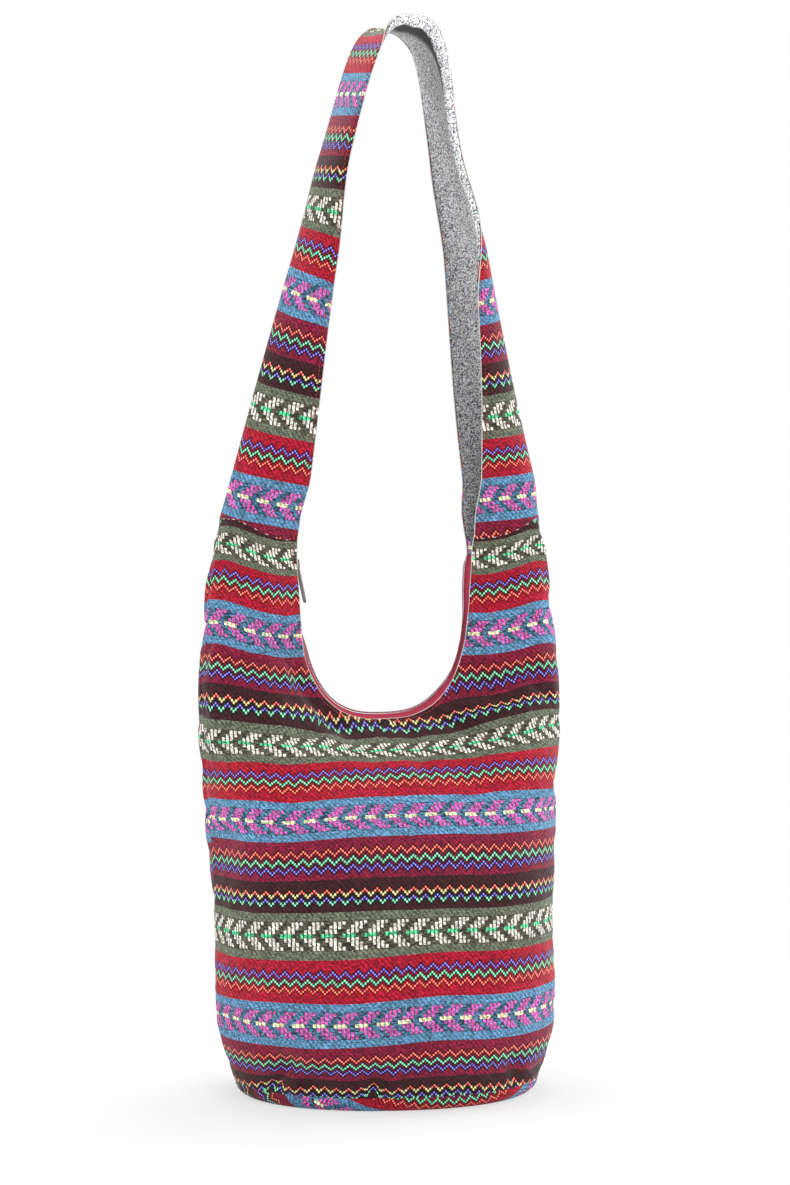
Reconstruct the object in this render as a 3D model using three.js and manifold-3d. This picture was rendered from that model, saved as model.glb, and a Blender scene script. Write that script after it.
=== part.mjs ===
// A slouchy shoulder bag of striped jacquard cloth: a stuffed body with a U neckline closed by a zip, two arm
// stubs rising beside it, and a strap of two pieces that are sewn to the stubs and meet at the crown.
// Millimetres, +Z up, the front faces -Y, the origin lies on the floor under the middle of the base.
import * as THREE from 'three';
import { mergeVertices } from 'three/addons/utils/BufferGeometryUtils.js';
import Module from 'manifold-3d';

const wasm = await Module();
wasm.setup();

// Cloth and seams
const clothThickness = 1.2;
const liningThickness = 0.5;
const liningGap = 0.5;
const pouchGap = 0.8;
const liningEdgeInset = 1.5;
const seamGap = 0.6;
const sideSeamLean = 0.2;

// Woven stripes, from the bottom of one repeat to its top
const stripes = [
  { name: 'dark', width: 25, color: 0x3a1619 },
  { name: 'maroon', width: 31, color: 0x731940 },
  { name: 'blue', width: 35, color: 0x4682af },
  { name: 'crimson', width: 34, color: 0xb01030 },
  { name: 'olive', width: 35, color: 0x5f6250 },
];
const bodyStripeStart = -10;
const strapFirstStripe = 'blue';

// Heights: the neckline's lowest point, and what rises from it
const neckHeight = 300;
const shoulderRise = 18;
const armRise = 170;
const stubDrop = 60;
const zipTopDrop = 31;
const strapRise = 408;
const shoulderHeight = neckHeight + shoulderRise;
const armSeamHeight = neckHeight + armRise;
const stubHeight = armSeamHeight - stubDrop;
const zipTopHeight = armSeamHeight - zipTopDrop;
const crownHeight = armSeamHeight + strapRise;

// Body: half widths and half depths at the heights where the outline turns
const seamRise = 12;
const floorInset = 14;
const baseHalfWidth = 134;
const baseHalfDepth = 88;
const bellyHeight = 60;
const bellyHalfWidth = 140;
const bellyHalfDepth = 95;
const waistHeight = 165;
const waistHalfWidth = 142;
const waistHalfDepth = 93;
const shoulderHalfWidth = 153;
const shoulderHalfDepth = 60;
const stubHalfWidth = 148.5;
const stubHalfDepth = 48;
const armHalfWidth = 137.5;
const armHalfDepth = 46;
const baseRoundness = 2.2;
const armRoundness = 4;
const baseTwist = THREE.MathUtils.degToRad(-15);
const baseShift = 4;

// Neckline: a straight slanting stretch on each side runs into a round bowl
const neckBowlHeight = 95;
const neckHalfWidth = 77.6;
const neckSlant = 0.07;
const neckRoundness = 2.3;
const neckDip = 17;
const neckDipRun = 72;
const neckDipNear = 0.25;
const neckDipFull = 0.95;
const neckHalfGap = 12.5;
const armHalfGap = 16;
const swellLength = 57;
const swellPower = 1.3;

// Strap
const crownFlare = 3;
const crownLean = 16;
const crownHalfWidth = 36;
const strapOpeningRate = 0.095;
const strapBlend = 0.15;
const edgeHandleReach = 60;
const edgeHandleRise = 290;
const edgeHandleTop = 34;
const ridgeHandleReach = 57;
const ridgeHandleRise = 292;
const ridgeHandleTop = 35;

// Zip
const tapeThickness = 0.7;
const tapeSink = 0.2;
const tapeClearance = 0.3;
const zipSlit = 1.2;
const coilWidth = 1.7;
const coilHeight = 1.4;
const coilClearance = 0.3;
const tabLength = 11.5;
const tabThickness = 1;
const tabClearance = 0.4;

// Zip slider and pull
const sliderDrop = 6;
const sliderLength = 10;
const sliderWidth = 8;
const sliderPlate = 1.2;
const sliderClearance = 0.4;
const sliderWeb = 0.6;
const sliderWebLength = 2;
const bailWidth = 1.4;
const bailLength = 7;
const bailHeight = 3.2;
const bailThickness = 1;
const pullLength = 33;
const pullWidth = 6;
const pullThickness = 1.2;
const pullBar = 1.4;
const pullHoleLength = 4.6;
const pullHoleClearance = 1;
const pullRestAngle = THREE.MathUtils.degToRad(8);

// Mesh density
const panelColumns = 8;
const panelStep = 24;
const neckStep = 4;
const neckStepGrowth = 0.25;
const strapColumns = 8;
const strapStep = 26;
const crownStep = 6;
const crownRun = 104;
const stepSlack = 1.5;
const neckSampleCount = 48;
const zipSegments = 18;
const bowlShare = 0.75;
const baseRings = 4;
const roundSegments = 8;
const weldGrid = 0.002;

const smooth = THREE.MathUtils.smoothstep;
const lerp = THREE.MathUtils.lerp;
const quarterTurn = Math.PI / 2;
const upright = new THREE.Vector3(0, 0, 1);

// A smooth curve through [height, value] stations, as a function of height
function through(stations) {
  const last = stations.length - 1;
  const slopeAt = (i) => {
    const before = stations[Math.max(i - 1, 0)];
    const after = stations[Math.min(i + 1, last)];
    return (after[1] - before[1]) / (after[0] - before[0]);
  };
  return (height) => {
    let i = 0;
    while (i < last - 1 && height > stations[i + 1][0]) i += 1;
    const [h0, v0] = stations[i];
    const [h1, v1] = stations[i + 1];
    const span = h1 - h0;
    const t = THREE.MathUtils.clamp((height - h0) / span, 0, 1);
    const t2 = t * t;
    const t3 = t2 * t;
    const ends = (2 * t3 - 3 * t2 + 1) * v0 + (3 * t2 - 2 * t3) * v1;
    return ends + span * ((t3 - 2 * t2 + t) * slopeAt(i) + (t3 - t2) * slopeAt(i + 1));
  };
}

const halfWidthAt = through([
  [seamRise, baseHalfWidth],
  [bellyHeight, bellyHalfWidth],
  [waistHeight, waistHalfWidth],
  [shoulderHeight, shoulderHalfWidth],
  [stubHeight, stubHalfWidth],
  [armSeamHeight, armHalfWidth],
]);
const fullDepthAt = through([
  [seamRise, baseHalfDepth],
  [bellyHeight, bellyHalfDepth],
  [waistHeight, waistHalfDepth],
  [shoulderHeight, shoulderHalfDepth],
  [stubHeight, stubHalfDepth],
  [armSeamHeight, armHalfDepth],
]);

// Half the gap between the two neckline sides at a height
function neckHalfAt(height) {
  if (height <= neckHeight) return 0;
  const rise = Math.min((height - neckHeight) / neckBowlHeight, 1);
  const side = neckHalfWidth - neckSlant * Math.max(zipTopHeight - height, 0);
  return side * (1 - (1 - rise) ** neckRoundness) ** (1 / neckRoundness);
}

// Right half of the neckline from the bottom of the bowl to the zip's top end
function neckPoints(segments) {
  const bowlSegments = Math.ceil(segments * bowlShare);
  const heights = [];
  for (let i = 0; i <= bowlSegments; i += 1) {
    const turn = (quarterTurn * i) / bowlSegments;
    heights.push(neckHeight + neckBowlHeight * (1 - Math.cos(turn) ** (2 / neckRoundness)));
  }
  const straight = segments - bowlSegments;
  const bowlTop = neckHeight + neckBowlHeight;
  for (let i = 1; i <= straight; i += 1) {
    heights.push(lerp(bowlTop, zipTopHeight, i / straight));
  }
  return heights.map((height) => new THREE.Vector2(neckHalfAt(height), height));
}

const neckSamples = neckPoints(neckSampleCount);

function distanceToNeck(x, z) {
  if (z > zipTopHeight) return Math.max(Math.abs(x) - neckHalfWidth, 0);
  const here = new THREE.Vector2(Math.abs(x), z);
  return Math.min(...neckSamples.map((sample) => sample.distanceTo(here)));
}

// Half depth of the stuffed body: narrow at the zip, swelling away from it, rounded at the side seams
function halfDepthAt(x, z) {
  const opening = lerp(neckHalfGap, armHalfGap, smooth(z, zipTopHeight, armSeamHeight));
  const swell = 1 - Math.exp(-((distanceToNeck(x, z) / swellLength) ** swellPower));
  const roundness = lerp(baseRoundness, armRoundness, smooth(z, bellyHeight, shoulderHeight));
  const side = Math.min(Math.abs(x) / halfWidthAt(z), 1);
  return (opening + (fullDepthAt(z) - opening) * swell) * Math.sqrt(1 - side ** roundness);
}

// The cloth's level lines dip towards the neckline
const neckLevel = neckHeight + neckDip;
function dipAt(level) {
  return neckDip * smooth(level, neckLevel - neckDipRun, neckLevel);
}

// The slack body turns and leans a little to one side below the neckline, most at the floor
function slumped(point) {
  const share = 1 - smooth(point.z, 0, neckHeight);
  point.applyAxisAngle(upright, baseTwist * share);
  point.x += baseShift * share;
  return point;
}

// A point of the body: reach runs from the side seam (0) to the middle or the neckline (1)
function bodyPoint(side, face, reach, level, { edgeInset = 0, seamInset = 0 } = {}) {
  const dip = dipAt(level);
  const z = level - dip * smooth(reach, neckDipNear, neckDipFull);
  const edge = neckHalfAt(level - dip + edgeInset) * (1 + edgeInset / neckHalfWidth);
  const x = edge + (halfWidthAt(z) - edge) * Math.cos(reach * quarterTurn);
  const y = halfDepthAt(x, z) + seamInset;
  return slumped(new THREE.Vector3(side * x, face * y, z));
}

// Strap: its edges follow one curve and its outer ridge another, from the arm seam to the crown
const strapEdge = new THREE.CubicBezierCurve3(
  new THREE.Vector3(neckHalfWidth, 0, armSeamHeight - neckDip),
  new THREE.Vector3(edgeHandleReach, 0, armSeamHeight + edgeHandleRise),
  new THREE.Vector3(edgeHandleTop, 0, crownHeight),
  new THREE.Vector3(0, 0, crownHeight),
);
const strapRidge = new THREE.CubicBezierCurve3(
  new THREE.Vector3(armHalfWidth, 0, armSeamHeight),
  new THREE.Vector3(ridgeHandleReach, 0, armSeamHeight + ridgeHandleRise),
  new THREE.Vector3(ridgeHandleTop, 0, crownHeight - crownFlare),
  new THREE.Vector3(0, 0, crownHeight - crownFlare),
);

// A point of the strap: across runs from the front edge (-1) over the ridge (0) to the back edge (1)
function strapPoint(side, across, run) {
  const reach = Math.abs(across);
  const face = Math.sign(across);
  const turn = reach * quarterTurn;
  const opened = crownHalfWidth - (crownHalfWidth - armHalfGap) * Math.exp(-run / strapOpeningRate);
  const free = strapEdge.getPoint(run).lerp(strapRidge.getPoint(run), Math.cos(turn));
  free.x *= side;
  free.y = face * opened * Math.sin(turn);
  const sewn = bodyPoint(side, face, reach, armSeamHeight);
  const point = sewn.lerp(free, smooth(run, 0, strapBlend));
  const rise = Math.max(point.z - armSeamHeight, 0) / (crownHeight - armSeamHeight);
  point.x += crownLean * rise * rise;
  return point;
}

// Stripe edges and the stripe at a level, counted from the start of a repeat
const repeat = stripes.reduce((sum, stripe) => sum + stripe.width, 0);
function stripeStart(name) {
  const index = stripes.findIndex((stripe) => stripe.name === name);
  return stripes.slice(0, index).reduce((sum, stripe) => sum + stripe.width, 0);
}

function stripeColorAt(level) {
  let place = THREE.MathUtils.euclideanModulo(level, repeat);
  const found = stripes.find((stripe) => {
    place -= stripe.width;
    return place < 0;
  });
  return new THREE.Color(found.color);
}

// Levels from low to high that include each stripe edge, at most about a step apart
function stripedLevels(low, high, offset, stepAt) {
  const levels = [low];
  const climbTo = (mark) => {
    let level = levels[levels.length - 1];
    while (mark - level > stepSlack * stepAt(level)) {
      level += stepAt(level);
      levels.push(level);
    }
    levels.push(mark);
  };
  const least = neckStep / 2;
  for (let start = offset + repeat * Math.floor((low - offset) / repeat); start < high; start += repeat) {
    let edge = start;
    stripes.forEach((stripe) => {
      edge += stripe.width;
      if (edge > levels[levels.length - 1] + least && edge < high - least) climbTo(edge);
    });
  }
  climbTo(high);
  return levels;
}

function evenly(from, to, count) {
  return Array.from({ length: count + 1 }, (unused, i) => lerp(from, to, i / count));
}

// A patch of cloth: one row of points for each level, with a stripe colour for each band between rows
function patch(levels, columns, pointAt, colorAt) {
  const rows = levels.map((level) => columns.map((column) => pointAt(column, level)));
  const tints = levels.slice(1).map((level, i) => colorAt && colorAt((level + levels[i]) / 2));
  return { rows, tints };
}

// Welds patches into one open surface and thickens it between two depths below that surface
function clothGeometry(patches, outerDepth, innerDepth) {
  const points = [];
  const known = new Map();
  const indexOf = (point) => {
    const key = point.toArray().map((value) => Math.round(value / weldGrid)).join();
    if (!known.has(key)) known.set(key, points.push(point) - 1);
    return known.get(key);
  };
  const faces = [];
  const addFace = (corners, tint) => {
    const [a, b, c] = corners.map(indexOf);
    if (a !== b && b !== c && c !== a) faces.push({ corners: [a, b, c], tint });
  };
  patches.forEach(({ rows, tints }) => {
    tints.forEach((tint, r) => {
      const low = rows[r];
      const high = rows[r + 1];
      for (let i = 0; i < low.length - 1; i += 1) {
        if (low[i].distanceTo(high[i + 1]) <= low[i + 1].distanceTo(high[i])) {
          addFace([low[i], low[i + 1], high[i + 1]], tint);
          addFace([low[i], high[i + 1], high[i]], tint);
        } else {
          addFace([low[i], low[i + 1], high[i]], tint);
          addFace([low[i + 1], high[i + 1], high[i]], tint);
        }
      }
    });
  });

  const normals = points.map(() => new THREE.Vector3());
  const edges = new Map();
  faces.forEach(({ corners, tint }) => {
    const [a, b, c] = corners.map((i) => points[i]);
    const normal = b.clone().sub(a).cross(c.clone().sub(a));
    corners.forEach((i) => normals[i].add(normal));
    corners.forEach((from, i) => edges.set(`${from} ${corners[(i + 1) % 3]}`, tint));
  });
  normals.forEach((normal) => normal.normalize());
  const outer = points.map((point, i) => point.clone().addScaledVector(normals[i], -outerDepth));
  const inner = points.map((point, i) => point.clone().addScaledVector(normals[i], -innerDepth));

  const positions = [];
  const colors = [];
  const addTriangle = (corners, tint) => {
    const shade = tint || new THREE.Color(0xffffff);
    corners.forEach((corner) => {
      positions.push(...corner.toArray());
      colors.push(...shade.toArray());
    });
  };
  faces.forEach(({ corners: [a, b, c], tint }) => {
    addTriangle([outer[a], outer[b], outer[c]], tint);
    addTriangle([inner[a], inner[c], inner[b]], tint);
  });
  edges.forEach((tint, key) => {
    const [from, to] = key.split(' ').map(Number);
    if (edges.has(`${to} ${from}`)) return;
    addTriangle([outer[to], outer[from], inner[from]], tint);
    addTriangle([outer[to], inner[from], inner[to]], tint);
  });
  const geometry = new THREE.BufferGeometry();
  geometry.setAttribute('position', new THREE.Float32BufferAttribute(positions, 3));
  geometry.setAttribute('color', new THREE.Float32BufferAttribute(colors, 3));
  geometry.computeVertexNormals();
  return geometry;
}

const bag = new THREE.Group();

function addMesh(parent, name, geometry, look) {
  const mesh = new THREE.Mesh(geometry, new THREE.MeshStandardMaterial(look));
  mesh.name = name;
  parent.add(mesh);
  return mesh;
}

const jacquard = { vertexColors: true, roughness: 0.9, metalness: 0 };
const greyLining = { color: 0x85858a, roughness: 0.95, metalness: 0 };
const crimsonTape = { color: 0xc33250, roughness: 0.8, metalness: 0 };
const crimsonCoil = { color: 0x9c2440, roughness: 0.5, metalness: 0 };
const blueTab = { color: 0x5a6ea8, roughness: 0.9, metalness: 0 };
const darkMetal = { color: 0x3c3a3c, roughness: 0.35, metalness: 1 };

// Front and back panels: one piece of cloth each, from the bottom seam to the arm seams
const bodyLevels = stripedLevels(seamRise, neckLevel, bodyStripeStart, () => panelStep);
const armTop = armSeamHeight - seamGap / 2;
const armLevels = stripedLevels(neckLevel, armTop, bodyStripeStart, (level) =>
  Math.min(neckStep + neckStepGrowth * (level - neckLevel), panelStep),
);
const sideToMiddle = evenly(0, 1, panelColumns);
const middleToSide = evenly(1, 0, panelColumns);
const bodyStripe = (level) => stripeColorAt(level - bodyStripeStart);

const seamInset = seamGap / 2 + sideSeamLean * clothThickness;

// Facing the panel, face -1 is the front and 1 the back; its first side is on the left as seen from outside
function panelPatches(face) {
  const halfPatch = (side, reaches, levels) => {
    const sewnPoint = (reach, level) => bodyPoint(side, face, reach, level, { seamInset });
    return patch(levels, reaches, sewnPoint, bodyStripe);
  };
  return [bodyLevels, armLevels].flatMap((levels) => [
    halfPatch(face, sideToMiddle, levels),
    halfPatch(-face, middleToSide, levels),
  ]);
}

addMesh(bag, 'front_panel', clothGeometry(panelPatches(-1), 0, clothThickness), jacquard);
addMesh(bag, 'back_panel', clothGeometry(panelPatches(1), 0, clothThickness), jacquard);

// Base: an oval of cloth that lies flat on the floor and rounds up to the bottom seam
const baseCentre = slumped(new THREE.Vector3(0, 0, seamRise));
function basePatch(rim) {
  const rounding = evenly(0, 1, baseRings - 1).map((share) => ({
    inset: floorInset * (1 - Math.cos(share * quarterTurn)),
    height: rim * (1 - Math.sin(share * quarterTurn)),
  }));
  const middle = { inset: baseHalfWidth, height: 0 };
  const quarter = sideToMiddle;
  const around = [
    ...quarter.map((reach) => [-1, -1, reach]),
    ...quarter.map((reach) => [1, -1, 1 - reach]).slice(1),
    ...quarter.map((reach) => [1, 1, reach]).slice(1),
    ...quarter.map((reach) => [-1, 1, 1 - reach]).slice(1),
  ];
  const ringPoint = ([side, face, reach], ring) => {
    const edge = bodyPoint(side, face, reach, seamRise);
    const point = baseCentre.clone().lerp(edge, 1 - ring.inset / baseHalfWidth);
    point.z = ring.height;
    return point;
  };
  const rings = [middle, ...rounding.reverse()];
  return patch(rings, around, ringPoint);
}

addMesh(bag, 'base_panel', clothGeometry([basePatch(seamRise - seamGap)], 0, clothThickness), {
  color: stripes.find((stripe) => stripe.name === 'maroon').color,
  roughness: 0.9,
  metalness: 0,
});

// Straps: sewn to the arm stubs and to each other at the crown, lined on the inside
const ridgeLength = strapRidge.getLength();
const strapLevels = stripedLevels(0, ridgeLength, -stripeStart(strapFirstStripe), (level) =>
  lerp(strapStep, crownStep, smooth(level, ridgeLength - crownRun, ridgeLength - strapStep)),
);
const strapStripe = (level) => stripeColorAt(level + stripeStart(strapFirstStripe));
const frontToBack = evenly(-1, 1, strapColumns);

function strapPatch(side, endInset) {
  const columns = side > 0 ? frontToBack : [...frontToBack].reverse();
  const sewnPoint = (across, level) => {
    const point = strapPoint(side, across, strapRidge.getUtoTmapping(0, level));
    if (level === 0) point.z += endInset;
    if (level === ridgeLength) point.x += side * endInset;
    return point;
  };
  return patch(strapLevels, columns, sewnPoint, strapStripe);
}

const liningDepth = clothThickness + liningGap;
[['left', -1], ['right', 1]].forEach(([word, side]) => {
  const strap = [strapPatch(side, seamGap / 2)];
  addMesh(bag, `${word}_strap`, clothGeometry(strap, 0, clothThickness), jacquard);
  const shorter = [strapPatch(side, seamGap)];
  const lining = clothGeometry(shorter, liningDepth, liningDepth + liningThickness);
  lining.deleteAttribute('color');
  addMesh(bag, `${word}_strap_lining`, lining, greyLining);
});

// Body lining: a pouch inside the panels, sewn in below the zip
const liningNeckLevel = neckLevel - liningEdgeInset;
const liningBody = [...bodyLevels.slice(0, -1), liningNeckLevel];
const liningArm = [liningNeckLevel, ...armLevels.slice(1, -1), armSeamHeight - liningEdgeInset];
const sewnIn = { edgeInset: liningEdgeInset };
const liningPoint = (side, face) => (reach, level) => bodyPoint(side, face, reach, level, sewnIn);
const pouch = [basePatch(seamRise)];
[liningBody, liningArm].forEach((levels) => {
  [-1, 1].forEach((face) => {
    pouch.push(patch(levels, sideToMiddle, liningPoint(face, face)));
    pouch.push(patch(levels, middleToSide, liningPoint(-face, face)));
  });
});
const pouchDepth = clothThickness + pouchGap;
const pouchGeometry = clothGeometry(pouch, pouchDepth, pouchDepth + liningThickness);
pouchGeometry.deleteAttribute('color');
addMesh(bag, 'body_lining', pouchGeometry, greyLining);

// Zip tapes and coils: ribbons along the neckline from its left end to its right end
const neckRight = neckPoints(zipSegments);
const neckLeft = [...neckRight].reverse().map((point) => new THREE.Vector2(-point.x, point.y));
const neckline = [...neckLeft, ...neckRight.slice(1)];

function ribbon(face, nearAt, farAt) {
  const columns = face < 0 ? [nearAt, farAt] : [farAt, nearAt];
  const ribbonPoint = (distanceAt, point) => new THREE.Vector3(point.x, face * distanceAt(point), point.y);
  return patch(neckline, columns, ribbonPoint);
}

[['front', -1], ['back', 1]].forEach(([word, face]) => {
  const slitEdge = () => zipSlit / 2;
  const clothEdge = (point) => halfDepthAt(point.x, point.y) - clothThickness - tapeClearance;
  const tape = clothGeometry([ribbon(face, slitEdge, clothEdge)], tapeSink, tapeSink + tapeThickness);
  tape.deleteAttribute('color');
  addMesh(bag, `zip_tape_${word}`, tape, crimsonTape);
  const coilFoot = coilClearance - tapeSink;
  const coilEdge = () => zipSlit / 2 + coilWidth;
  const coil = clothGeometry([ribbon(face, slitEdge, coilEdge)], -coilFoot - coilHeight, -coilFoot);
  coil.deleteAttribute('color');
  addMesh(bag, `zip_coil_${word}`, coil, crimsonCoil);
});

// Zip end tabs: folded cloth that closes the gap above each end of the zip
[['left', -1], ['right', 1]].forEach(([word, side]) => {
  const heights = evenly(zipTopHeight + tabClearance, zipTopHeight + tabClearance + tabLength, 2);
  const across = side > 0 ? [1, -1] : [-1, 1];
  const tabPoint = (face, height) => {
    const x = neckHalfAt(height);
    return new THREE.Vector3(side * x, face * (halfDepthAt(x, height) - clothThickness - tabClearance), height);
  };
  const tab = clothGeometry([patch(heights, across, tabPoint)], 0, tabThickness);
  tab.deleteAttribute('color');
  addMesh(bag, `zip_end_tab_${word}`, tab, blueTab);
});

// Solid joins and cuts
function solidOf(geometry) {
  const bare = geometry.clone();
  bare.deleteAttribute('normal');
  bare.deleteAttribute('uv');
  const merged = mergeVertices(bare);
  const mesh = new wasm.Mesh({
    numProp: 3,
    vertProperties: merged.attributes.position.array,
    triVerts: new Uint32Array(merged.index.array),
  });
  return new wasm.Manifold(mesh);
}

function geometryOf(solid) {
  const mesh = solid.getMesh();
  const geometry = new THREE.BufferGeometry();
  geometry.setAttribute('position', new THREE.BufferAttribute(mesh.vertProperties, 3));
  geometry.setIndex(new THREE.BufferAttribute(mesh.triVerts, 1));
  const flat = geometry.toNonIndexed();
  flat.computeVertexNormals();
  return flat;
}

function block(x0, x1, width, z0, z1) {
  const box = new THREE.BoxGeometry(x1 - x0, width, z1 - z0);
  box.translate((x0 + x1) / 2, 0, (z0 + z1) / 2);
  return solidOf(box);
}

// Slider: two plates that clasp the zip, a web between the tapes, and a bail for the pull.
// In its own frame x points out of the neckline, z runs up along the zip.
const sliderHeight = zipTopHeight - sliderDrop;
const sliderGroup = new THREE.Group();
sliderGroup.position.set(-neckHalfAt(sliderHeight), 0, sliderHeight);
sliderGroup.rotation.y = -Math.atan(neckSlant);
bag.add(sliderGroup);

const outerFace = coilClearance - tapeSink + coilHeight + sliderClearance;
const innerFace = -(tapeSink + tapeThickness + sliderClearance);
const outerTop = outerFace + sliderPlate;
const sliderEnd = sliderLength / 2;
const outerPlate = block(outerFace, outerTop, sliderWidth, -sliderEnd, sliderEnd);
const innerPlate = block(innerFace - sliderPlate, innerFace, sliderWidth, -sliderEnd, sliderEnd);
const overlap = sliderPlate / 2;
const web = block(innerFace - overlap, outerFace + overlap, sliderWeb, sliderEnd - sliderWebLength, sliderEnd);

const bailEnd = bailLength / 2;
const bailBlock = block(outerTop - overlap, outerTop + bailHeight, bailWidth, -bailEnd, bailEnd);
const bailInside = bailEnd - bailThickness;
const bailGap = block(outerTop, outerTop + bailHeight - bailThickness, 2 * bailWidth, -bailInside, bailInside);
const bail = bailBlock.subtract(bailGap);
const slider = outerPlate.add(innerPlate).add(web).add(bail);
addMesh(sliderGroup, 'zip_slider', geometryOf(slider), darkMetal);

// Pull: a plate with a round end, whose bar lies under the bail
const barCentre = outerTop + (bailHeight - bailThickness) / 2;
const pullGroup = new THREE.Group();
pullGroup.position.set(barCentre, 0, 0);
pullGroup.rotation.y = -pullRestAngle;
sliderGroup.add(pullGroup);

const pullHalf = pullWidth / 2;
const pullTop = pullBar / 2;
const pullOutline = new THREE.Shape();
pullOutline.moveTo(-pullHalf, pullTop);
pullOutline.lineTo(-pullHalf, pullTop - pullLength + pullHalf);
pullOutline.absarc(0, pullTop - pullLength + pullHalf, pullHalf, Math.PI, 2 * Math.PI);
pullOutline.lineTo(pullHalf, pullTop);
const holeHalf = bailWidth / 2 + pullHoleClearance;
const pullHole = new THREE.Path();
pullHole.moveTo(-holeHalf, -pullTop);
pullHole.lineTo(-holeHalf, -pullTop - pullHoleLength);
pullHole.lineTo(holeHalf, -pullTop - pullHoleLength);
pullHole.lineTo(holeHalf, -pullTop);
pullOutline.holes.push(pullHole);
const pullPlate = new THREE.ExtrudeGeometry(pullOutline, {
  depth: pullThickness,
  bevelEnabled: false,
  curveSegments: roundSegments,
});
pullPlate.translate(0, 0, -pullThickness / 2);
pullPlate.rotateX(quarterTurn);
pullPlate.rotateZ(quarterTurn);
addMesh(pullGroup, 'zip_pull', pullPlate, darkMetal);

export default bag;
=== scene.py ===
import math

import bpy
import numpy as np
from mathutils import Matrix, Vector


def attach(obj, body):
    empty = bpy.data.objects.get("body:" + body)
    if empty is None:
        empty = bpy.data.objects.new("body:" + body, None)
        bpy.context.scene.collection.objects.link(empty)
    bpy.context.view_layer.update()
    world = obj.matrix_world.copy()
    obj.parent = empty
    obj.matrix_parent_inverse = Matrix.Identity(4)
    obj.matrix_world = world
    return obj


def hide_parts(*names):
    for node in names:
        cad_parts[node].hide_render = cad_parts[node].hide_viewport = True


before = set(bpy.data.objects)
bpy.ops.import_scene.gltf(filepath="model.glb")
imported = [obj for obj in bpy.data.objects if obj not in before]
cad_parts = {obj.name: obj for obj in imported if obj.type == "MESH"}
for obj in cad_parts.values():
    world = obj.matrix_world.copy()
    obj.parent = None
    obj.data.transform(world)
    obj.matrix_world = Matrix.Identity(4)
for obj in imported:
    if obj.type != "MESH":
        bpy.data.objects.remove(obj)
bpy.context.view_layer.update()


# Front and back panels: two cuts of striped cotton jacquard, each in one piece with both arm stubs.
# They are sewn to each other at the sides and turned right side out, and the filled cloth bellies and folds.
# The neckline between the arms is turned in as a narrow hem over the zip.

seam_height = 0.012
belly_height = 0.060
waist_height = 0.165
neck_height = 0.306
shoulder_height = 0.318
stub_height = 0.410
zip_top_height = 0.439
arm_seam_height = 0.470
stations = [seam_height, belly_height, waist_height, shoulder_height, stub_height, arm_seam_height]
half_widths = [0.125, 0.139, 0.142, 0.153, 0.1485, 0.1375]
half_depths = [0.088, 0.095, 0.093, 0.060, 0.048, 0.046]
base_roundness = 2.2
arm_roundness = 4
neck_half_width = 0.0776
neck_slant = 0.07
bowl_height = 0.095
bowl_roundness = 2.7
slider_path = (0.36, 0.395)
slider_half_gap = 0.0125
closed_half_gap = 0.006
arm_half_gap = 0.016
swell_length = 0.057
swell_power = 1.3
neck_dip = 0.017
neck_dip_run = 0.072
neck_dip_reach = (0.25, 0.95)
neck_level = neck_height + neck_dip
base_twist = math.radians(-15)
base_shift = 0.004
quarter_turn = math.pi / 2


def smooth(value, low, high):
    share = np.clip((value - low) / (high - low), 0, 1)
    return share * share * (3 - 2 * share)


def within(value, start, full, fading, end):
    """One between full and fading, easing to nothing at start and end"""
    return smooth(value, start, full) * (1 - smooth(value, fading, end))


def lerp(low, high, share):
    return low + (high - low) * share


def through(heights, values):
    """A smooth curve through values at heights"""
    heights, values = np.array(heights), np.array(values)
    before = np.maximum(np.arange(len(heights)) - 1, 0)
    after = np.minimum(np.arange(len(heights)) + 1, len(heights) - 1)
    slopes = (values[after] - values[before]) / (heights[after] - heights[before])

    def curve(height):
        i = np.clip(np.searchsorted(heights, height) - 1, 0, len(heights) - 2)
        span = heights[i + 1] - heights[i]
        t = np.clip((height - heights[i]) / span, 0, 1)
        ends = (2 * t**3 - 3 * t**2 + 1) * values[i] + (3 * t**2 - 2 * t**3) * values[i + 1]
        return ends + span * ((t**3 - 2 * t**2 + t) * slopes[i] + (t**3 - t**2) * slopes[i + 1])

    return curve


half_width_at = through(stations, half_widths)
full_depth_at = through(stations, half_depths)


def neck_half_at(height):
    rise = np.clip((height - neck_height) / bowl_height, 0, 1)
    side = neck_half_width - neck_slant * np.maximum(zip_top_height - height, 0)
    return side * (1 - (1 - rise) ** bowl_roundness) ** (1 / bowl_roundness)


def bowl_levels(shares):
    """Heights up one side of the bowl of the neckline, evenly spaced along it"""
    return neck_height + bowl_height * (1 - np.cos(shares * quarter_turn) ** (2 / bowl_roundness))


def neck_heights(bowl_steps, straight_steps):
    """Heights up one side of the neckline: round its bowl, then up its straight stretch"""
    straight = np.linspace(neck_height + bowl_height, zip_top_height, straight_steps + 1)[1:]
    return np.concatenate([bowl_levels(np.linspace(0, 1, bowl_steps + 1)), straight])


def distance_to_neck(x, z):
    heights = neck_heights(bowl_steps=59, straight_steps=11)
    across, up = np.abs(x)[..., None], np.minimum(z, zip_top_height)[..., None]
    return np.hypot(across - neck_half_at(heights), up - heights).min(-1)


def drawn_together(x, z):
    """Share by which the zip closes the neckline: everywhere but along the slider's path on the left"""
    return np.where(x < 0, 1 - smooth(z, *slider_path), 1.0)


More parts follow.
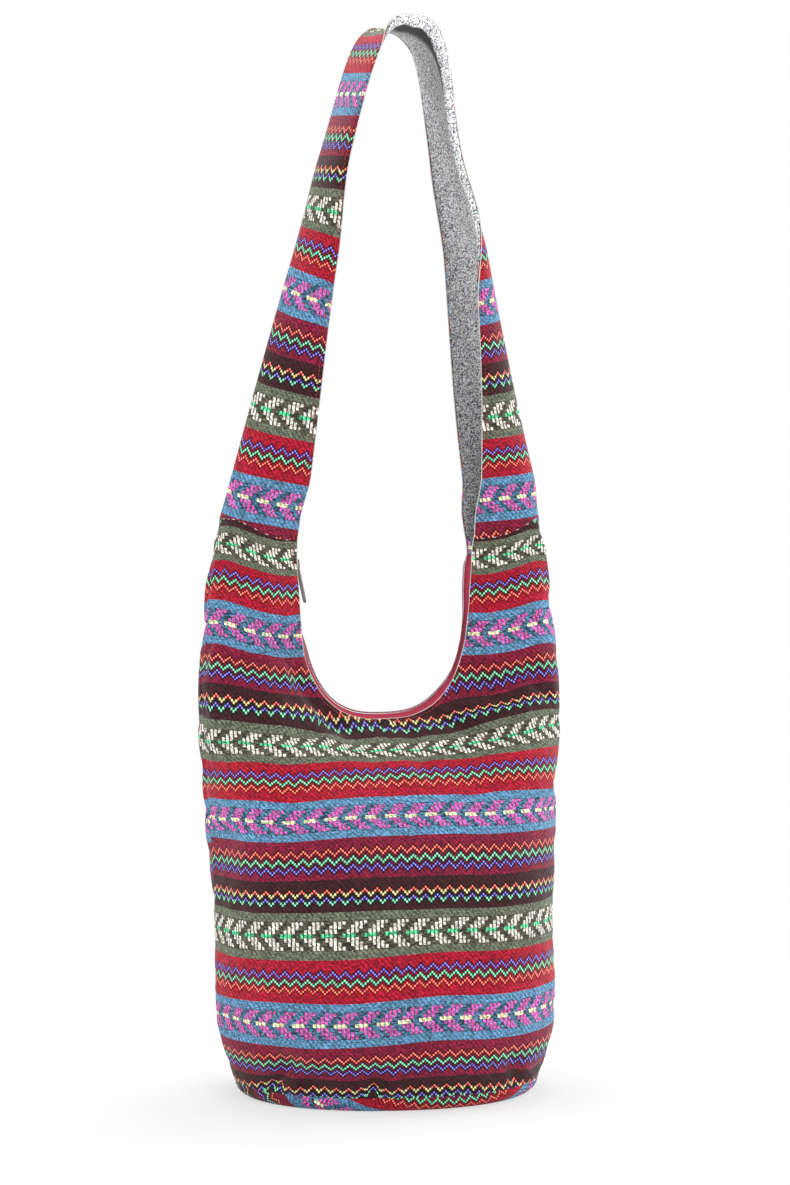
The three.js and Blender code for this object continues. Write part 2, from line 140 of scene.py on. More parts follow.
def half_depth_at(x, z):
    gap = lerp(slider_half_gap, closed_half_gap, drawn_together(x, z))
    opening = lerp(gap, arm_half_gap, smooth(z, zip_top_height, arm_seam_height))
    swell = 1 - np.exp(-((distance_to_neck(x, z) / swell_length) ** swell_power))
    roundness = lerp(base_roundness, arm_roundness, smooth(z, belly_height, shoulder_height))
    side = np.minimum(np.abs(x) / half_width_at(z), 1)
    return (opening + (full_depth_at(z) - opening) * swell) * np.sqrt(1 - side**roundness)


def slumped(x, y, z):
    """The slack body turns and leans a little to one side below the neckline, most at the floor"""
    share = 1 - smooth(z, 0, neck_height)
    cosine, sine = np.cos(base_twist * share), np.sin(base_twist * share)
    return np.stack([x * cosine - y * sine + base_shift * share, x * sine + y * cosine, z], -1)


def dip_at(level):
    """How far the cloth beside the neckline lies below its level at the side seam"""
    return neck_dip * smooth(level, neck_level - neck_dip_run, neck_level)


def body_surface(side, face, reach, level):
    """Cloth of the body: reach runs from the side seam (0) to the middle or the neckline (1)"""
    dip = dip_at(level)
    z = level - dip * smooth(reach, *neck_dip_reach)
    edge = neck_half_at(level - dip)
    x = edge + (half_width_at(z) - edge) * np.cos(reach * quarter_turn)
    return slumped(side * x, face * half_depth_at(side * x, z), z)


# Grid lines of the cloth, about 4 mm apart: full rows up to the neckline, then a strip of rows for each arm.
# Rows start level at the floor, and those of the arms fan out round the bowl of the neckline.
panel_columns = 48
body_rows = 76
arm_rows = 56
side_split = 0.215
bowl_share = 0.62
fan_power = 1.6
reach_rounds = 6
to_middle = np.linspace(0, 1, panel_columns + 1)
middle_levels = np.linspace(seam_height, neck_level, body_rows + 1)
low_side_levels = np.linspace(seam_height, side_split, body_rows + 1)
arm_share = np.linspace(0, 1, arm_rows + 1)
edge_levels = np.where(
    arm_share < bowl_share,
    bowl_levels(np.minimum(arm_share / bowl_share, 1)) + neck_dip,
    lerp(neck_level + bowl_height, arm_seam_height, (arm_share - bowl_share) / (1 - bowl_share)),
)
high_side_levels = lerp(side_split, arm_seam_height, arm_share)


def fanned(side_levels, inner_levels, reach):
    return lerp(side_levels[:, None], inner_levels[:, None], reach**fan_power)


def body_patch(face):
    """Side, reach and level of the full rows, from the left seam to the right as seen from outside"""
    reach = np.concatenate([to_middle, to_middle[-2::-1]])
    level = fanned(low_side_levels, middle_levels, reach)
    side = np.where(np.arange(len(reach)) <= panel_columns, face, -face)
    return np.broadcast_to(side, level.shape), np.broadcast_to(reach, level.shape), level


def clear_of_bowl(columns, level):
    """Reach that spreads each row of an arm evenly from the side seam to where the row meets the neckline"""
    row_edge = neck_half_at(edge_levels - neck_dip)[:, None]
    dip = dip_at(level)
    edge = neck_half_at(level - dip)
    reach = columns
    for unused in range(reach_rounds):
        width = half_width_at(level - dip * smooth(reach, *neck_dip_reach))
        x = row_edge + (width - row_edge) * np.cos(columns * quarter_turn)
        reach = np.arccos(np.clip((x - edge) / (width - edge), 0, 1)) / quarter_turn
    return np.where(row_edge > 0, reach, columns)


def arm_patch(side, face):
    """The same for one arm"""
    columns = to_middle if side == face else to_middle[::-1]
    level = fanned(high_side_levels, edge_levels, columns)
    return np.full(level.shape, side), clear_of_bowl(np.broadcast_to(columns, level.shape), level), level


def unit(vectors):
    return vectors / np.maximum(np.linalg.norm(vectors, axis=-1, keepdims=True), 1e-12)


def grid_normals(points):
    along = np.gradient(points, axis=0)
    across = np.gradient(points, axis=1)
    return unit(np.cross(across, along))


def lengths_along(points):
    """Length from the first point on, along a path or along each row of a grid"""
    steps = np.linalg.norm(np.diff(points, axis=-2), axis=-1)
    return np.insert(np.cumsum(steps, axis=-1), 0, 0, axis=-1)


weld_distance = 2e-6


def welded(grids):
    """Points and faces of grids that share their border points, and each grid point's place among them"""
    points = np.concatenate([grid.reshape(-1, 3) for grid in grids])
    keys = np.round(points / weld_distance).astype(np.int64)
    unused, first, place = np.unique(keys, axis=0, return_index=True, return_inverse=True)
    faces, places, start = [], [], 0
    for grid in grids:
        rows, columns = grid.shape[:2]
        index = place.ravel()[start:start + rows * columns].reshape(rows, columns)
        corners = [index[:-1, :-1], index[:-1, 1:], index[1:, 1:], index[1:, :-1]]
        faces.append(np.stack(corners, -1).reshape(-1, 4))
        places.append(index)
        start += rows * columns
    return points[first], np.concatenate(faces), places


def shared_normals(grids):
    """Normals of each grid's points that agree along the borders of the grids"""
    points, faces, places = welded(grids)
    a, b, c, d = (points[corner] for corner in faces.T)
    normals = np.zeros_like(points)
    for corner in faces.T:
        np.add.at(normals, corner, np.cross(c - a, d - b))
    return [unit(normals)[place] for place in places]


hem_radius = 0.0007
hem_drop = 0.0002
hem_steps = 5
neck_tuck = (0.003, 0.007)


def square_out(points, column):
    """Direction out of the cloth at each point of an edge column of a grid, square to the edge"""
    edge, inside = points[:, column], points[:, 1 if column == 0 else -2]
    along = unit(np.gradient(edge, axis=0))
    way = edge - inside
    return unit(way - along * (way * along).sum(-1, keepdims=True))


def hem(points, normals, column, tuck):
    """Columns that roll a grid's edge over and tuck it back inside, from the edge outwards"""
    edge, normal, outward = points[:, column], normals[:, column], square_out(points, column)
    rolled = [
        edge + outward * hem_radius * math.sin(turn) - normal * hem_radius * (1 - math.cos(turn))
        for turn in np.linspace(0, math.pi, hem_steps + 1)[1:]
    ]
    for i, depth in enumerate(tuck):
        rolled.append(edge - outward * depth - normal * (2 * hem_radius + hem_drop * i))
    return np.stack(rolled, 1)


# Soft folds of the filled cloth as seen from the front: centre x and z, direction, length, width and height
front_folds = [
    (-0.052, 0.316, -52, 0.052, 0.011, -0.0065),
    (-0.060, 0.276, -8, 0.075, 0.012, 0.0040),
    (-0.095, 0.300, -70, 0.050, 0.016, 0.0030),
    (0.070, 0.300, 55, 0.055, 0.014, -0.0030),
    (0.020, 0.245, 4, 0.070, 0.014, -0.0025),
    (-0.100, 0.040, -42, 0.040, 0.007, -0.0045),
    (-0.085, 0.055, -40, 0.040, 0.010, 0.0030),
    (-0.105, 0.016, 70, 0.018, 0.005, -0.0060),
    (-0.090, 0.022, 75, 0.020, 0.007, 0.0030),
    (-0.037, 0.014, 84, 0.020, 0.005, -0.0060),
    (-0.026, 0.020, 80, 0.020, 0.007, 0.0035),
    (0.040, 0.018, 100, 0.022, 0.008, -0.0030),
    (0.085, 0.020, 105, 0.024, 0.007, -0.0035),
    (0.045, 0.150, 70, 0.090, 0.020, -0.0022),
    (-0.050, 0.160, 102, 0.080, 0.022, 0.0025),
    (0.105, 0.200, 80, 0.085, 0.016, -0.0025),
]
back_folds = [
    (0.055, 0.305, 50, 0.055, 0.012, -0.0055),
    (0.010, 0.262, 4, 0.085, 0.013, 0.0040),
    (-0.070, 0.300, -50, 0.050, 0.013, -0.0045),
    (-0.060, 0.020, 82, 0.026, 0.007, -0.0045),
    (0.050, 0.022, 98, 0.026, 0.007, -0.0045),
    (0.100, 0.060, 55, 0.050, 0.011, -0.0035),
    (-0.020, 0.150, 84, 0.100, 0.022, -0.0028),
]


def fold_height(folds, x, z):
    total = np.zeros_like(x)
    for centre_x, centre_z, degrees, length, width, height in folds:
        cosine, sine = math.cos(math.radians(degrees)), math.sin(math.radians(degrees))
        along = ((x - centre_x) * cosine + (z - centre_z) * sine) / length
        across = ((z - centre_z) * cosine - (x - centre_x) * sine) / width
        total += height * np.exp(-(along**2) - across**2)
    return total


# Folds fade out towards the bottom seam, the side seams, the neckline and the arm seams
bottom_fade = 0.007
side_fade_reach = 0.12
neck_fade = 0.012
arm_fade_level = 0.44
seam_groove = 0.0012
groove_reach = 0.03
groove_rise = 0.02


def panel_patches():
    """Front and back panels as grids of points with weft and warp: full rows first, then two arms"""
    places = [
        (side, face, reach, level)
        for face in (-1, 1)
        for side, reach, level in (body_patch(face), arm_patch(face, face), arm_patch(-face, face))
    ]
    flat = [body_surface(*place) for place in places]
    grids = []
    for (side, face, reach, level), points, normals in zip(places, flat, shared_normals(flat)):
        x, z = points[..., 0], points[..., 2]
        free = smooth(z, seam_height, seam_height + bottom_fade) * smooth(reach, 0, side_fade_reach)
        free = free * (1 - smooth(level, arm_fade_level, arm_seam_height))
        free = free * smooth(distance_to_neck(x, z), 0, neck_fade)
        bulge = free * fold_height(front_folds if face < 0 else back_folds, x, z)
        groove = seam_groove * np.exp(-((reach / groove_reach) ** 2))
        bulge -= groove * smooth(z, seam_height, seam_height + groove_rise)
        grids.append(points + normals * bulge[..., None])
    grids = settled(grids)
    woven = [(points, *woven_place(*place)) for place, points in zip(places, grids)]
    return woven[:3], woven[3:]


# The sewn panels settle as slack cloth, pressed out by the filling and held at the seams and the neckline
settle_frames = 36
cloth_slack = 0.018
most_moved = 0.012
loose_hold = 0.08
cloth_settings = {
    "quality": 6,
    "mass": 0.2,
    "tension_stiffness": 20,
    "compression_stiffness": 20,
    "shear_stiffness": 8,
    "bending_stiffness": 0.4,
    "use_pressure": True,
    "uniform_pressure_force": 6,
    "shrink_min": -cloth_slack,
    "vertex_group_mass": "hold",
}


def settled(grids):
    points, faces, places = welded([grid[::2, ::2] for grid in grids])
    hold = np.full(len(points), loose_hold)
    for i, place in enumerate(places):
        hold[place[:, 0]] = hold[place[:, -1]] = 1
        hold[place[0 if i % 3 == 0 else -1]] = 1
    shell = mesh_object("settling", points.tolist(), faces.tolist())
    group = shell.vertex_groups.new(name="hold")
    for index, weight in enumerate(hold.tolist()):
        group.add([index], weight, "REPLACE")
    cloth = shell.modifiers.new("Cloth", "CLOTH")
    for setting, value in cloth_settings.items():
        setattr(cloth.settings, setting, value)
    cloth.settings.effector_weights.gravity = 0
    cloth.collision_settings.use_collision = False
    cloth.point_cache.frame_end = settle_frames
    scene = bpy.context.scene
    for moment in range(1, settle_frames + 1):
        scene.frame_set(moment)
    shape = shell.evaluated_get(bpy.context.evaluated_depsgraph_get()).to_mesh()
    moved = np.empty(len(points) * 3, np.float32)
    shape.vertices.foreach_get("co", moved)
    scene.frame_set(1)
    bpy.data.objects.remove(shell)
    shift = moved.reshape(-1, 3).astype(float) - points
    length = np.linalg.norm(shift, axis=1, keepdims=True)
    shift *= np.minimum(1, most_moved / np.maximum(length, 1e-9))
    shift[hold == 1] = 0
    return [grid + between(shift[place]) for grid, place in zip(grids, places)]


def between(values):
    """A grid with a row and a column added midway between each two"""
    for axis in (0, 1):
        values = np.moveaxis(values, axis, 0)
        fine = np.empty((2 * len(values) - 1, *values.shape[1:]))
        fine[::2] = values
        fine[1::2] = (values[:-1] + values[1:]) / 2
        values = np.moveaxis(fine, 0, axis)
    return values


# Length of the cloth from the side seam inwards, along level lines that lie closer in the neckline's bowl
table_levels = np.linspace(seam_height, arm_seam_height, 160)
table_levels = np.unique(np.concatenate([table_levels, bowl_levels(np.linspace(0, 1, 80)) + neck_dip]))
table_reach = np.linspace(0, 1, 121)


def girth_table(face):
    level, reach = np.meshgrid(table_levels, table_reach, indexing="ij")
    return lengths_along(body_surface(np.ones_like(level), face, reach, level))


def read_table(table, level, reach):
    last_row, last_column = len(table_levels) - 1, len(table_reach) - 1
    row = np.clip(np.interp(level, table_levels, np.arange(last_row + 1)), 0, last_row - 0.001)
    column = np.clip(reach * last_column, 0, last_column - 0.001)
    i, j = row.astype(int), column.astype(int)
    low = lerp(table[i, j], table[i, j + 1], column - j)
    high = lerp(table[i + 1, j], table[i + 1, j + 1], column - j)
    return lerp(low, high, row - i)


# Where the drape of the front draws the stripes up: how far, then the stretch of x and the stretch of level.
# Each stretch says where the lift starts, is full, starts to fade and ends.
past_left, past_right, past_top = (-2, -1), (1, 2), (1, 2)
drape_lifts = [
    (0.0060, (0.045, 0.135, *past_right), (seam_height, 0.045, 0.295, 0.33)),
    (0.0052, (-0.07, 0.02, *past_right), (seam_height, 0.045, 0.11, 0.16)),
    (0.0036, (*past_left, *past_right), (0.10, 0.16, 0.205, 0.245)),
    (-0.0024, (-0.12, -0.09, 0.05, 0.08), (0.215, 0.25, 0.275, 0.30)),
    (0.0024, (*past_left, -0.135, -0.10), (0.20, 0.24, 0.28, 0.31)),
    (-0.0050, (-0.07, -0.04, 0.04, 0.07), (0.275, 0.30, *past_top)),
]
# Tucks caught in the bottom seam of the front: place, half width and how far they draw the stripes up
bottom_tucks = [(-0.105, 0.006, 0.006), (-0.037, 0.005, 0.007), (0.03, 0.012, 0.002), (0.082, 0.008, 0.003)]
tuck_top = 0.034
left_arm_lift, left_neck_lift = 0.0055, 0.0075
right_arm_lift, right_neck_lift = -0.0010, 0.0056
front_seam_lift, front_seam_top = 0.006, 0.055
back_lift = 0.003
# Slack of the weave, as how far the stripes hang below their level in parts of each panel
low_middle_slack = -0.0045
neck_slack = 0.006
left_side_slack, left_side_gain = -0.001, 0.004
right_side_slack = 0.003
arm_top_slack = 0.010
right_neck_slack = -0.007
warp_stretch = 0.0057
warp_start = 0.0045


def drape_lift(x, reach, level):
    """How far the drape of the front draws the stripes up: over the body, and in each arm"""
    lift = sum(height * within(x, *across) * within(level, *up) for height, across, up in drape_lifts)
    left_arm = (left_arm_lift + left_neck_lift * smooth(reach, 0.25, 1.0)) * smooth(level, 0.295, 0.34)
    right_arm = (right_arm_lift + right_neck_lift * smooth(reach, 0.1, 0.6)) * smooth(level, 0.295, 0.33)
    return lift + np.where(x < 0, left_arm, right_arm)


def woven_place(side, face, reach, level):
    """Weft and warp in millimetres, following the slack of the cloth in the photographed drape"""
    table = girth_table(face)
    neck_row = np.searchsorted(table_levels, neck_level) - 1
    half_girth = table[:, -1].copy()
    taper = half_width_at(table_levels) - half_width_at(table_levels[neck_row])
    half_girth[neck_row:] = half_girth[neck_row] + taper[neck_row:]
    from_middle = np.interp(level, table_levels, half_girth) - read_table(table, level, reach)
    weft = -face * side * from_middle
    near_middle = smooth(reach, 0.2, 0.9)
    right = np.where(side * -face > 0, 1.0, 0.0)
    low = 1 - smooth(level, 0.225, 0.300)
    slack = near_middle * (low_middle_slack * low + neck_slack * smooth(level, 0.262, 0.315))
    left_side = left_side_slack + left_side_gain * smooth(level, 0.240, 0.280)
    slack += (1 - near_middle) * lerp(left_side, right_side_slack, right)
    slack += arm_top_slack * smooth(level, 0.425, arm_seam_height)
    slack += right_neck_slack * right * near_middle * smooth(level, neck_level, neck_level + 0.04)
    slack += warp_stretch * level - warp_start
    if face > 0:
        slack -= back_lift
    else:
        x = body_surface(side, face, reach, level)[..., 0]
        slack -= front_seam_lift * (1 - smooth(level, seam_height, front_seam_top))
        slack -= drape_lift(x, reach, level)
        at_seam = 1 - smooth(level, seam_height, tuck_top)
        for place, width, lift in bottom_tucks:
            slack -= lift * np.exp(-(((x - place) / width) ** 2)) * at_seam
    return weft * 1000, (level + slack) * 1000


def mesh_object(name, points, faces, material=None):
    mesh = bpy.data.meshes.new(name)
    mesh.from_pydata(points, [], faces)
    mesh.shade_smooth()
    if material:
        mesh.materials.append(material)
    piece = bpy.data.objects.new(name, mesh)
    bpy.context.collection.objects.link(piece)
    return piece


def cloth_piece(name, grids, material, smoothing=1, words=("weft", "warp")):
    """A mesh object of welded grids that carries its weft and warp for the weave"""
    points, faces, places = welded([grid[0] for grid in grids])
    layers = np.empty((len(words), len(points)), np.float32)
    for grid, place in reversed(list(zip(grids, places))):
        for layer, values in zip(layers, grid[1:]):
            layer[place] = values
    polygons = [list(dict.fromkeys(face)) for face in faces.tolist()]
    polygons = [polygon for polygon in polygons if len(polygon) > 2]
    piece = mesh_object(name, points.tolist(), polygons, material)
    for word, values in zip(words, layers):
        piece.data.attributes.new(word, "FLOAT", "POINT").data.foreach_set("value", values)
    if smoothing:
        rounding = piece.modifiers.new("Rounding", "SUBSURF")
        rounding.levels = rounding.render_levels = smoothing
    return piece


def linear(red, green, blue):
    """Shader colour of an eight-bit colour as the eye sees it"""
    parts = [value / 255 for value in (red, green, blue)]
    return tuple(v / 12.92 if v <= 0.04045 else ((v + 0.055) / 1.055) ** 2.4 for v in parts) + (1.0,)


def reckoned(operation, turned=False):
    """A method that makes a math node of an amount and what it is reckoned with"""
    def method(amount, *others):
        return amount.finish.math(operation, *((*others, amount) if turned else (amount, *others)))
    return method


class Amount:
    """A number that varies over a surface: a node's output, which can be reckoned with"""

    def __init__(self, finish, socket):
        self.finish, self.socket = finish, socket

    __add__ = __radd__ = reckoned("ADD")
    __sub__, __rsub__ = reckoned("SUBTRACT"), reckoned("SUBTRACT", turned=True)
    __mul__ = __rmul__ = reckoned("MULTIPLY")
    __truediv__, __mod__ = reckoned("DIVIDE"), reckoned("FLOORED_MODULO")
    __lt__, __gt__ = reckoned("LESS_THAN"), reckoned("GREATER_THAN")
    __abs__, floor, fraction = reckoned("ABSOLUTE"), reckoned("FLOOR"), reckoned("FRACT")
    at_least, at_most = reckoned("MAXIMUM"), reckoned("MINIMUM")

    def clamped(self):
        return Amount(self.finish, self.finish.node("ShaderNodeClamp", {0: self}).outputs[0])


class Finish:
    """A material whose nodes are added one by one; they take numbers, colours, amounts and sockets"""

    def __init__(self, name, owner=None):
        self.material = owner or bpy.data.materials.new(name)
        self.material.use_nodes = True
        self.tree = self.material.node_tree
        self.shader = self.tree.nodes.get("Principled BSDF")

    def feed(self, socket, value):
        value = value.socket if isinstance(value, Amount) else value
        if isinstance(value, bpy.types.NodeSocket):
            self.tree.links.new(value, socket)
        else:
            socket.default_value = value[:3] if socket.type == "VECTOR" else value

    def node(self, kind, inputs=(), **settings):
        node = self.tree.nodes.new(kind)
        for key, value in settings.items():
            setattr(node, key, value)
        for key, value in dict(inputs).items():
            self.feed(node.inputs[key], value)
        return node

    def math(self, operation, *values):
        node = self.node("ShaderNodeMath", dict(enumerate(values)), operation=operation)
        return Amount(self, node.outputs[0])

    def mix(self, share, low, high):
        node = self.node("ShaderNodeMix", {0: share, 6: low, 7: high}, data_type="RGBA")
        return node.outputs[2]

    def attribute(self, word):
        return Amount(self, self.node("ShaderNodeAttribute", attribute_name=word).outputs["Fac"])

    def speckle(self, x, y):
        """A random number for each whole x and y"""
        place = self.node("ShaderNodeCombineXYZ", {0: x, 1: y}).outputs[0]
        node = self.node("ShaderNodeTexWhiteNoise", {0: place}, noise_dimensions="2D")
        return Amount(self, node.outputs[0])

    def noise(self, scale, detail=2.0):
        place = self.node("ShaderNodeNewGeometry").outputs["Position"]
        inputs = {"Vector": place, "Scale": scale, "Detail": detail}
        return Amount(self, self.node("ShaderNodeTexNoise", inputs).outputs[0])

    def shade(self, colour, amount):
        """Colour made lighter or darker by an amount around 1"""
        node = self.node("ShaderNodeVectorMath", {0: colour, 3: amount}, operation="SCALE")
        return node.outputs[0]

    def bump(self, height, strength, distance):
        inputs = {"Height": height, "Strength": strength, "Distance": distance}
        self.feed(self.shader.inputs["Normal"], self.node("ShaderNodeBump", inputs).outputs[0])

    def set(self, **values):
        for key, value in values.items():
            self.feed(self.shader.inputs[key.replace("_", " ")], value)


# The jacquard's repeat of five stripes, in millimetres from the bottom, and the motifs woven into them
stripe_widths = {"dark": 25, "maroon": 31, "blue": 35, "crimson": 34, "olive": 35}
stripe_colours = {
    "dark": linear(60, 26, 28),
    "maroon": linear(130, 26, 54),
    "blue": linear(94, 142, 178),
    "crimson": linear(172, 20, 46),
    "olive": linear(104, 110, 92),
}
stripe_starts = dict(zip(stripe_widths, np.cumsum([0, *stripe_widths.values()]).tolist()))
repeat = sum(stripe_widths.values())
body_stripe_start = -10
mint, violet = linear(112, 236, 180), linear(82, 66, 214)
orange, yellow = linear(255, 76, 40), linear(253, 240, 150)
# Near black for the dark picks, and near white for the painted highlight on the middle of each zigzag float
near_black, painted_float_highlight = linear(16, 6, 12), linear(255, 252, 246)
# Each zigzag line: stripe, height of its middle, colour at its peaks, in its valleys and beside it
zigzags = [
    ("crimson", 22.7, violet, violet, linear(70, 6, 30)),
    ("crimson", 16.6, mint, mint, linear(26, 8, 14)),
    ("crimson", 10.6, orange, orange, linear(112, 4, 20)),
    ("maroon", 20.1, orange, orange, linear(60, 6, 20)),
    ("maroon", 13.7, mint, mint, near_black),
    ("maroon", 7.7, violet, violet, linear(34, 8, 24)),
    ("dark", 14.4, orange, yellow, near_black),
    ("dark", 8.4, violet, mint, near_black),
]
floats_to_zigzag = 6
middle_step = floats_to_zigzag / 4
float_pitch = 1.62
float_rise = 1.53
float_slimness, float_shortness = 1.05, 1.7
# Sizes of each float's core and of the painted highlight at its middle
core_size, painted_gloss_size = 1.7, 0.55
shadow_half_height = 2.6
# Each arrowhead stripe: bars, heart of the head, gaps in its heart, ground between the bars and dashes on it
arrowheads = {
    "blue": {
        "bars": linear(234, 94, 184),
        "heart": linear(252, 248, 205),
        "gaps": linear(196, 196, 140),
        "ground": linear(82, 124, 154),
        "dashes": linear(20, 38, 60),
    },
    "olive": {
        "bars": linear(240, 235, 222),
        "heart": linear(104, 230, 164),
        "gaps": linear(14, 120, 78),
        "ground": linear(90, 88, 72),
        "dashes": linear(40, 36, 28),
    },
}
bars_to_head = 5
bar_pitch = 3.3
bar_width = 0.66
bar_slant = 0.107
bar_foot_step, bar_foot_start = 3.2, -4.8
bar_top_step, bar_top_start, bar_top_limit = 3.0, 4.5, 10.5
dash_limit, dash_strength = 0.66, 0.75
head_half_height = 1.5
motif_half_height = 11.2
# Yarns to a millimetre: picks, specks of grain, dashes, slubs and ribs of twill
pick_density = 1.05
grain_density = 0.85
dash_density = 0.36
slub_density, slub_slant = 0.45, 0.37
twill_density = 0.24


def woven_jacquard(name, start):
    cloth = Finish(name)
    weft, warp = cloth.attribute("weft"), cloth.attribute("warp") - start
    rise = warp % repeat
    pick = (warp * pick_density).floor()
    grain = cloth.speckle((weft * grain_density).floor(), pick)
    dash = cloth.speckle((weft * dash_density).floor(), pick)
    slub = cloth.speckle((pick * slub_slant + weft * slub_density).floor(), pick)

    lowest_stripe, *upper_stripes = stripe_widths
    ground = stripe_colours[lowest_stripe]
    for stripe in upper_stripes:
        ground = cloth.mix(rise > stripe_starts[stripe], ground, stripe_colours[stripe])
    floats = 0.0

    # Arrowheads: five slanted bars to a period, each further from the middle line than the last
    for stripe, colours in arrowheads.items():
        offset = rise - (stripe_starts[stripe] + stripe_widths[stripe] / 2)
        away = abs(offset)
        place = (offset * bar_slant + weft) / bar_pitch
        bar = place.floor() % bars_to_head
        on_bar = place.fraction() < bar_width
        lowest = (bar * bar_foot_step + bar_foot_start).at_least(0.0)
        highest = (bar * bar_top_step + bar_top_start).at_most(bar_top_limit)
        drawn = on_bar * ((away > lowest) * (away < highest))
        head = ((bar + 1) % bars_to_head < bars_to_head / 2) * (away < head_half_height)
        zone = away < motif_half_height
        ground = cloth.mix(zone, ground, colours["ground"])
        ground = cloth.mix(zone * (dash > dash_limit) * dash_strength, ground, colours["dashes"])
        ground = cloth.mix(drawn, ground, colours["bars"])
        ground = cloth.mix(head, ground, cloth.mix(on_bar, colours["gaps"], colours["heart"]))
        floats = floats + drawn.at_least(head)
    ground = cloth.shade(ground, grain * 1.1 + 0.45)
    ground = cloth.shade(ground, slub * 0.7 + 0.65)

    # Zigzags of single yarn floats, six to a period, each set in a shadow of dark picks, with a painted
    # highlight on the middle of each float
    column = weft / float_pitch
    step = abs(column.floor() % floats_to_zigzag - floats_to_zigzag / 2)
    peak = step > middle_step
    beside_float = (column.fraction() - 0.5) * float_shortness
    beside_float = beside_float * beside_float
    for stripe, height, at_peak, at_valley, beside in zigzags:
        lowest = stripe_starts[stripe] + height - middle_step * float_rise
        away = rise - (step * float_rise + lowest)
        ground = cloth.mix(abs(away) < shadow_half_height, ground, beside)
        across = away * float_slimness
        roundness = across * across + beside_float
        core = (core_size - roundness).clamped()
        # The painted highlight whitens the middle of each float, whatever the light
        painted_gloss = (painted_gloss_size - roundness).clamped()
        yarn = cloth.mix(painted_gloss * 1.1, cloth.mix(peak, at_valley, at_peak), painted_float_highlight)
        ground = cloth.mix(core, ground, yarn)
        floats = floats + core

    # Fine diagonal twill of the ground, and slow drifts of tone from dyeing and wear
    twill = abs(((weft + warp) * twill_density).fraction() * 2.0 - 1.0)
    tone = (cloth.noise(14.0) * 0.30 + 0.85) * (twill * 0.6 + 0.70)
    cloth.set(Base_Color=cloth.shade(ground, tone), Roughness=grain * 0.15 + 0.78)
    cloth.bump(twill * 0.5 + grain * 0.35 + floats * 0.6, 0.5, 0.0005)
    cloth.set(Sheen_Weight=0.12, Sheen_Roughness=0.5, Specular_IOR_Level=0.25)
    return cloth.material


def edge_column(points):
    """Index of the column of an arm's grid that lies along the neckline"""
    return 0 if abs(points[-1, 0, 0]) < abs(points[-1, -1, 0]) else -1


def with_neck_hem(grids):
    """The panel's grids and the hems of its two arms along the neckline"""
    hemmed = list(grids)
    for points, weft, warp in grids[1:]:
        inner = edge_column(points)
        rolled = hem(points, grid_normals(points), inner, neck_tuck)
        strip = np.concatenate([points[:, [inner]], rolled], 1)
        width, height = (np.broadcast_to(layer[:, [inner]], strip.shape[:2]) for layer in (weft, warp))
        hemmed.append((strip[:, ::-1] if inner == 0 else strip, width, height))
    return hemmed


body_cloth = woven_jacquard("striped_jacquard", body_stripe_start)
front_grids, back_grids = panel_patches()
panels = {"front": front_grids, "back": back_grids}
for word, grids in panels.items():
    panel = cloth_piece(f"{word}_panel_cloth", with_neck_hem(grids), body_cloth)
    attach(panel, "bag")
    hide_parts(f"{word}_panel")


# Base: an oval of the same jacquard, sewn to both panels at the bottom seam.
# It lies flat on the floor and rounds up to the seam under the weight of the filling.

base_reach = 0.134
floor_inset = 0.014
flat_rings = 15
rounding_rings = 6
base_stripe_start = 3
around = [(-1, -1, reach) for reach in to_middle] + [(1, -1, 1 - reach) for reach in to_middle[1:]]
around += [(1, 1, reach) for reach in to_middle[1:]] + [(-1, 1, 1 - reach) for reach in to_middle[1:]]
around_side, around_face, around_reach = (np.array(values) for values in zip(*around))
base_edge = body_surface(around_side, around_face, around_reach, np.full(len(around), seam_height))
base_centre = slumped(np.array(0.0), np.array(0.0), np.array(seam_height))


def base_grid():
    """Rings from the middle of the floor out and up to the seam, with weft and warp across the floor"""
    rings = [(lerp(base_reach, floor_inset, share), 0.0) for share in np.linspace(0, 1, flat_rings + 1)[:-1]]
    for turn in np.linspace(0, 1, rounding_rings + 1)[::-1] * quarter_turn:
        rings.append((floor_inset * (1 - math.cos(turn)), seam_height * (1 - math.sin(turn))))
    points = np.stack([lerp(base_centre, base_edge, 1 - inset / base_reach) for inset, height in rings])
    points[..., 2] = np.array([height for inset, height in rings])[:, None]
    run = lengths_along(points.swapaxes(0, 1)).T * 1000
    way = unit((base_edge - base_centre) * (1, 1, 0))
    return points, run * way[:, 0], base_stripe_start - run * way[:, 1]


base = cloth_piece("base_cloth", [base_grid()], body_cloth)
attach(base, "bag")
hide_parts("base_panel")


# Body lining: a pouch of plain mottled grey cloth that hangs inside the panels and the base.
# It is sewn in with the zip at the neckline and with the arm seams.

pouch_depth = 0.003
lining_density = 1.4
streak_density = 0.9


def mottled_lining(name):
    cloth = Finish(name)
    weft, warp = cloth.attribute("weft"), cloth.attribute("warp")
    row = (warp * lining_density).floor()
    yarn = cloth.speckle((weft * lining_density).floor(), row)
    streak = cloth.speckle(((weft + warp) * streak_density).floor(), row)
    fleck = (yarn * 0.6 + streak * 0.4 - 0.5) * 2.1 + 0.53
    colour = cloth.mix(fleck, linear(70, 70, 74), linear(250, 250, 252))
    # The fold attribute paints shade into the lining where it is positive and paints light onto it where it
    # is negative
    painted_shade_and_light = cloth.attribute("fold") * -0.94 + 1.0
    tone = (cloth.noise(18.0) * 0.3 + 0.85) * painted_shade_and_light
    cloth.set(Base_Color=cloth.shade(colour, tone), Roughness=yarn * 0.1 + 0.85)
    cloth.bump(fleck, 0.4, 0.0003)
    cloth.set(Sheen_Weight=0.15, Specular_IOR_Level=0.2)
    return cloth.material


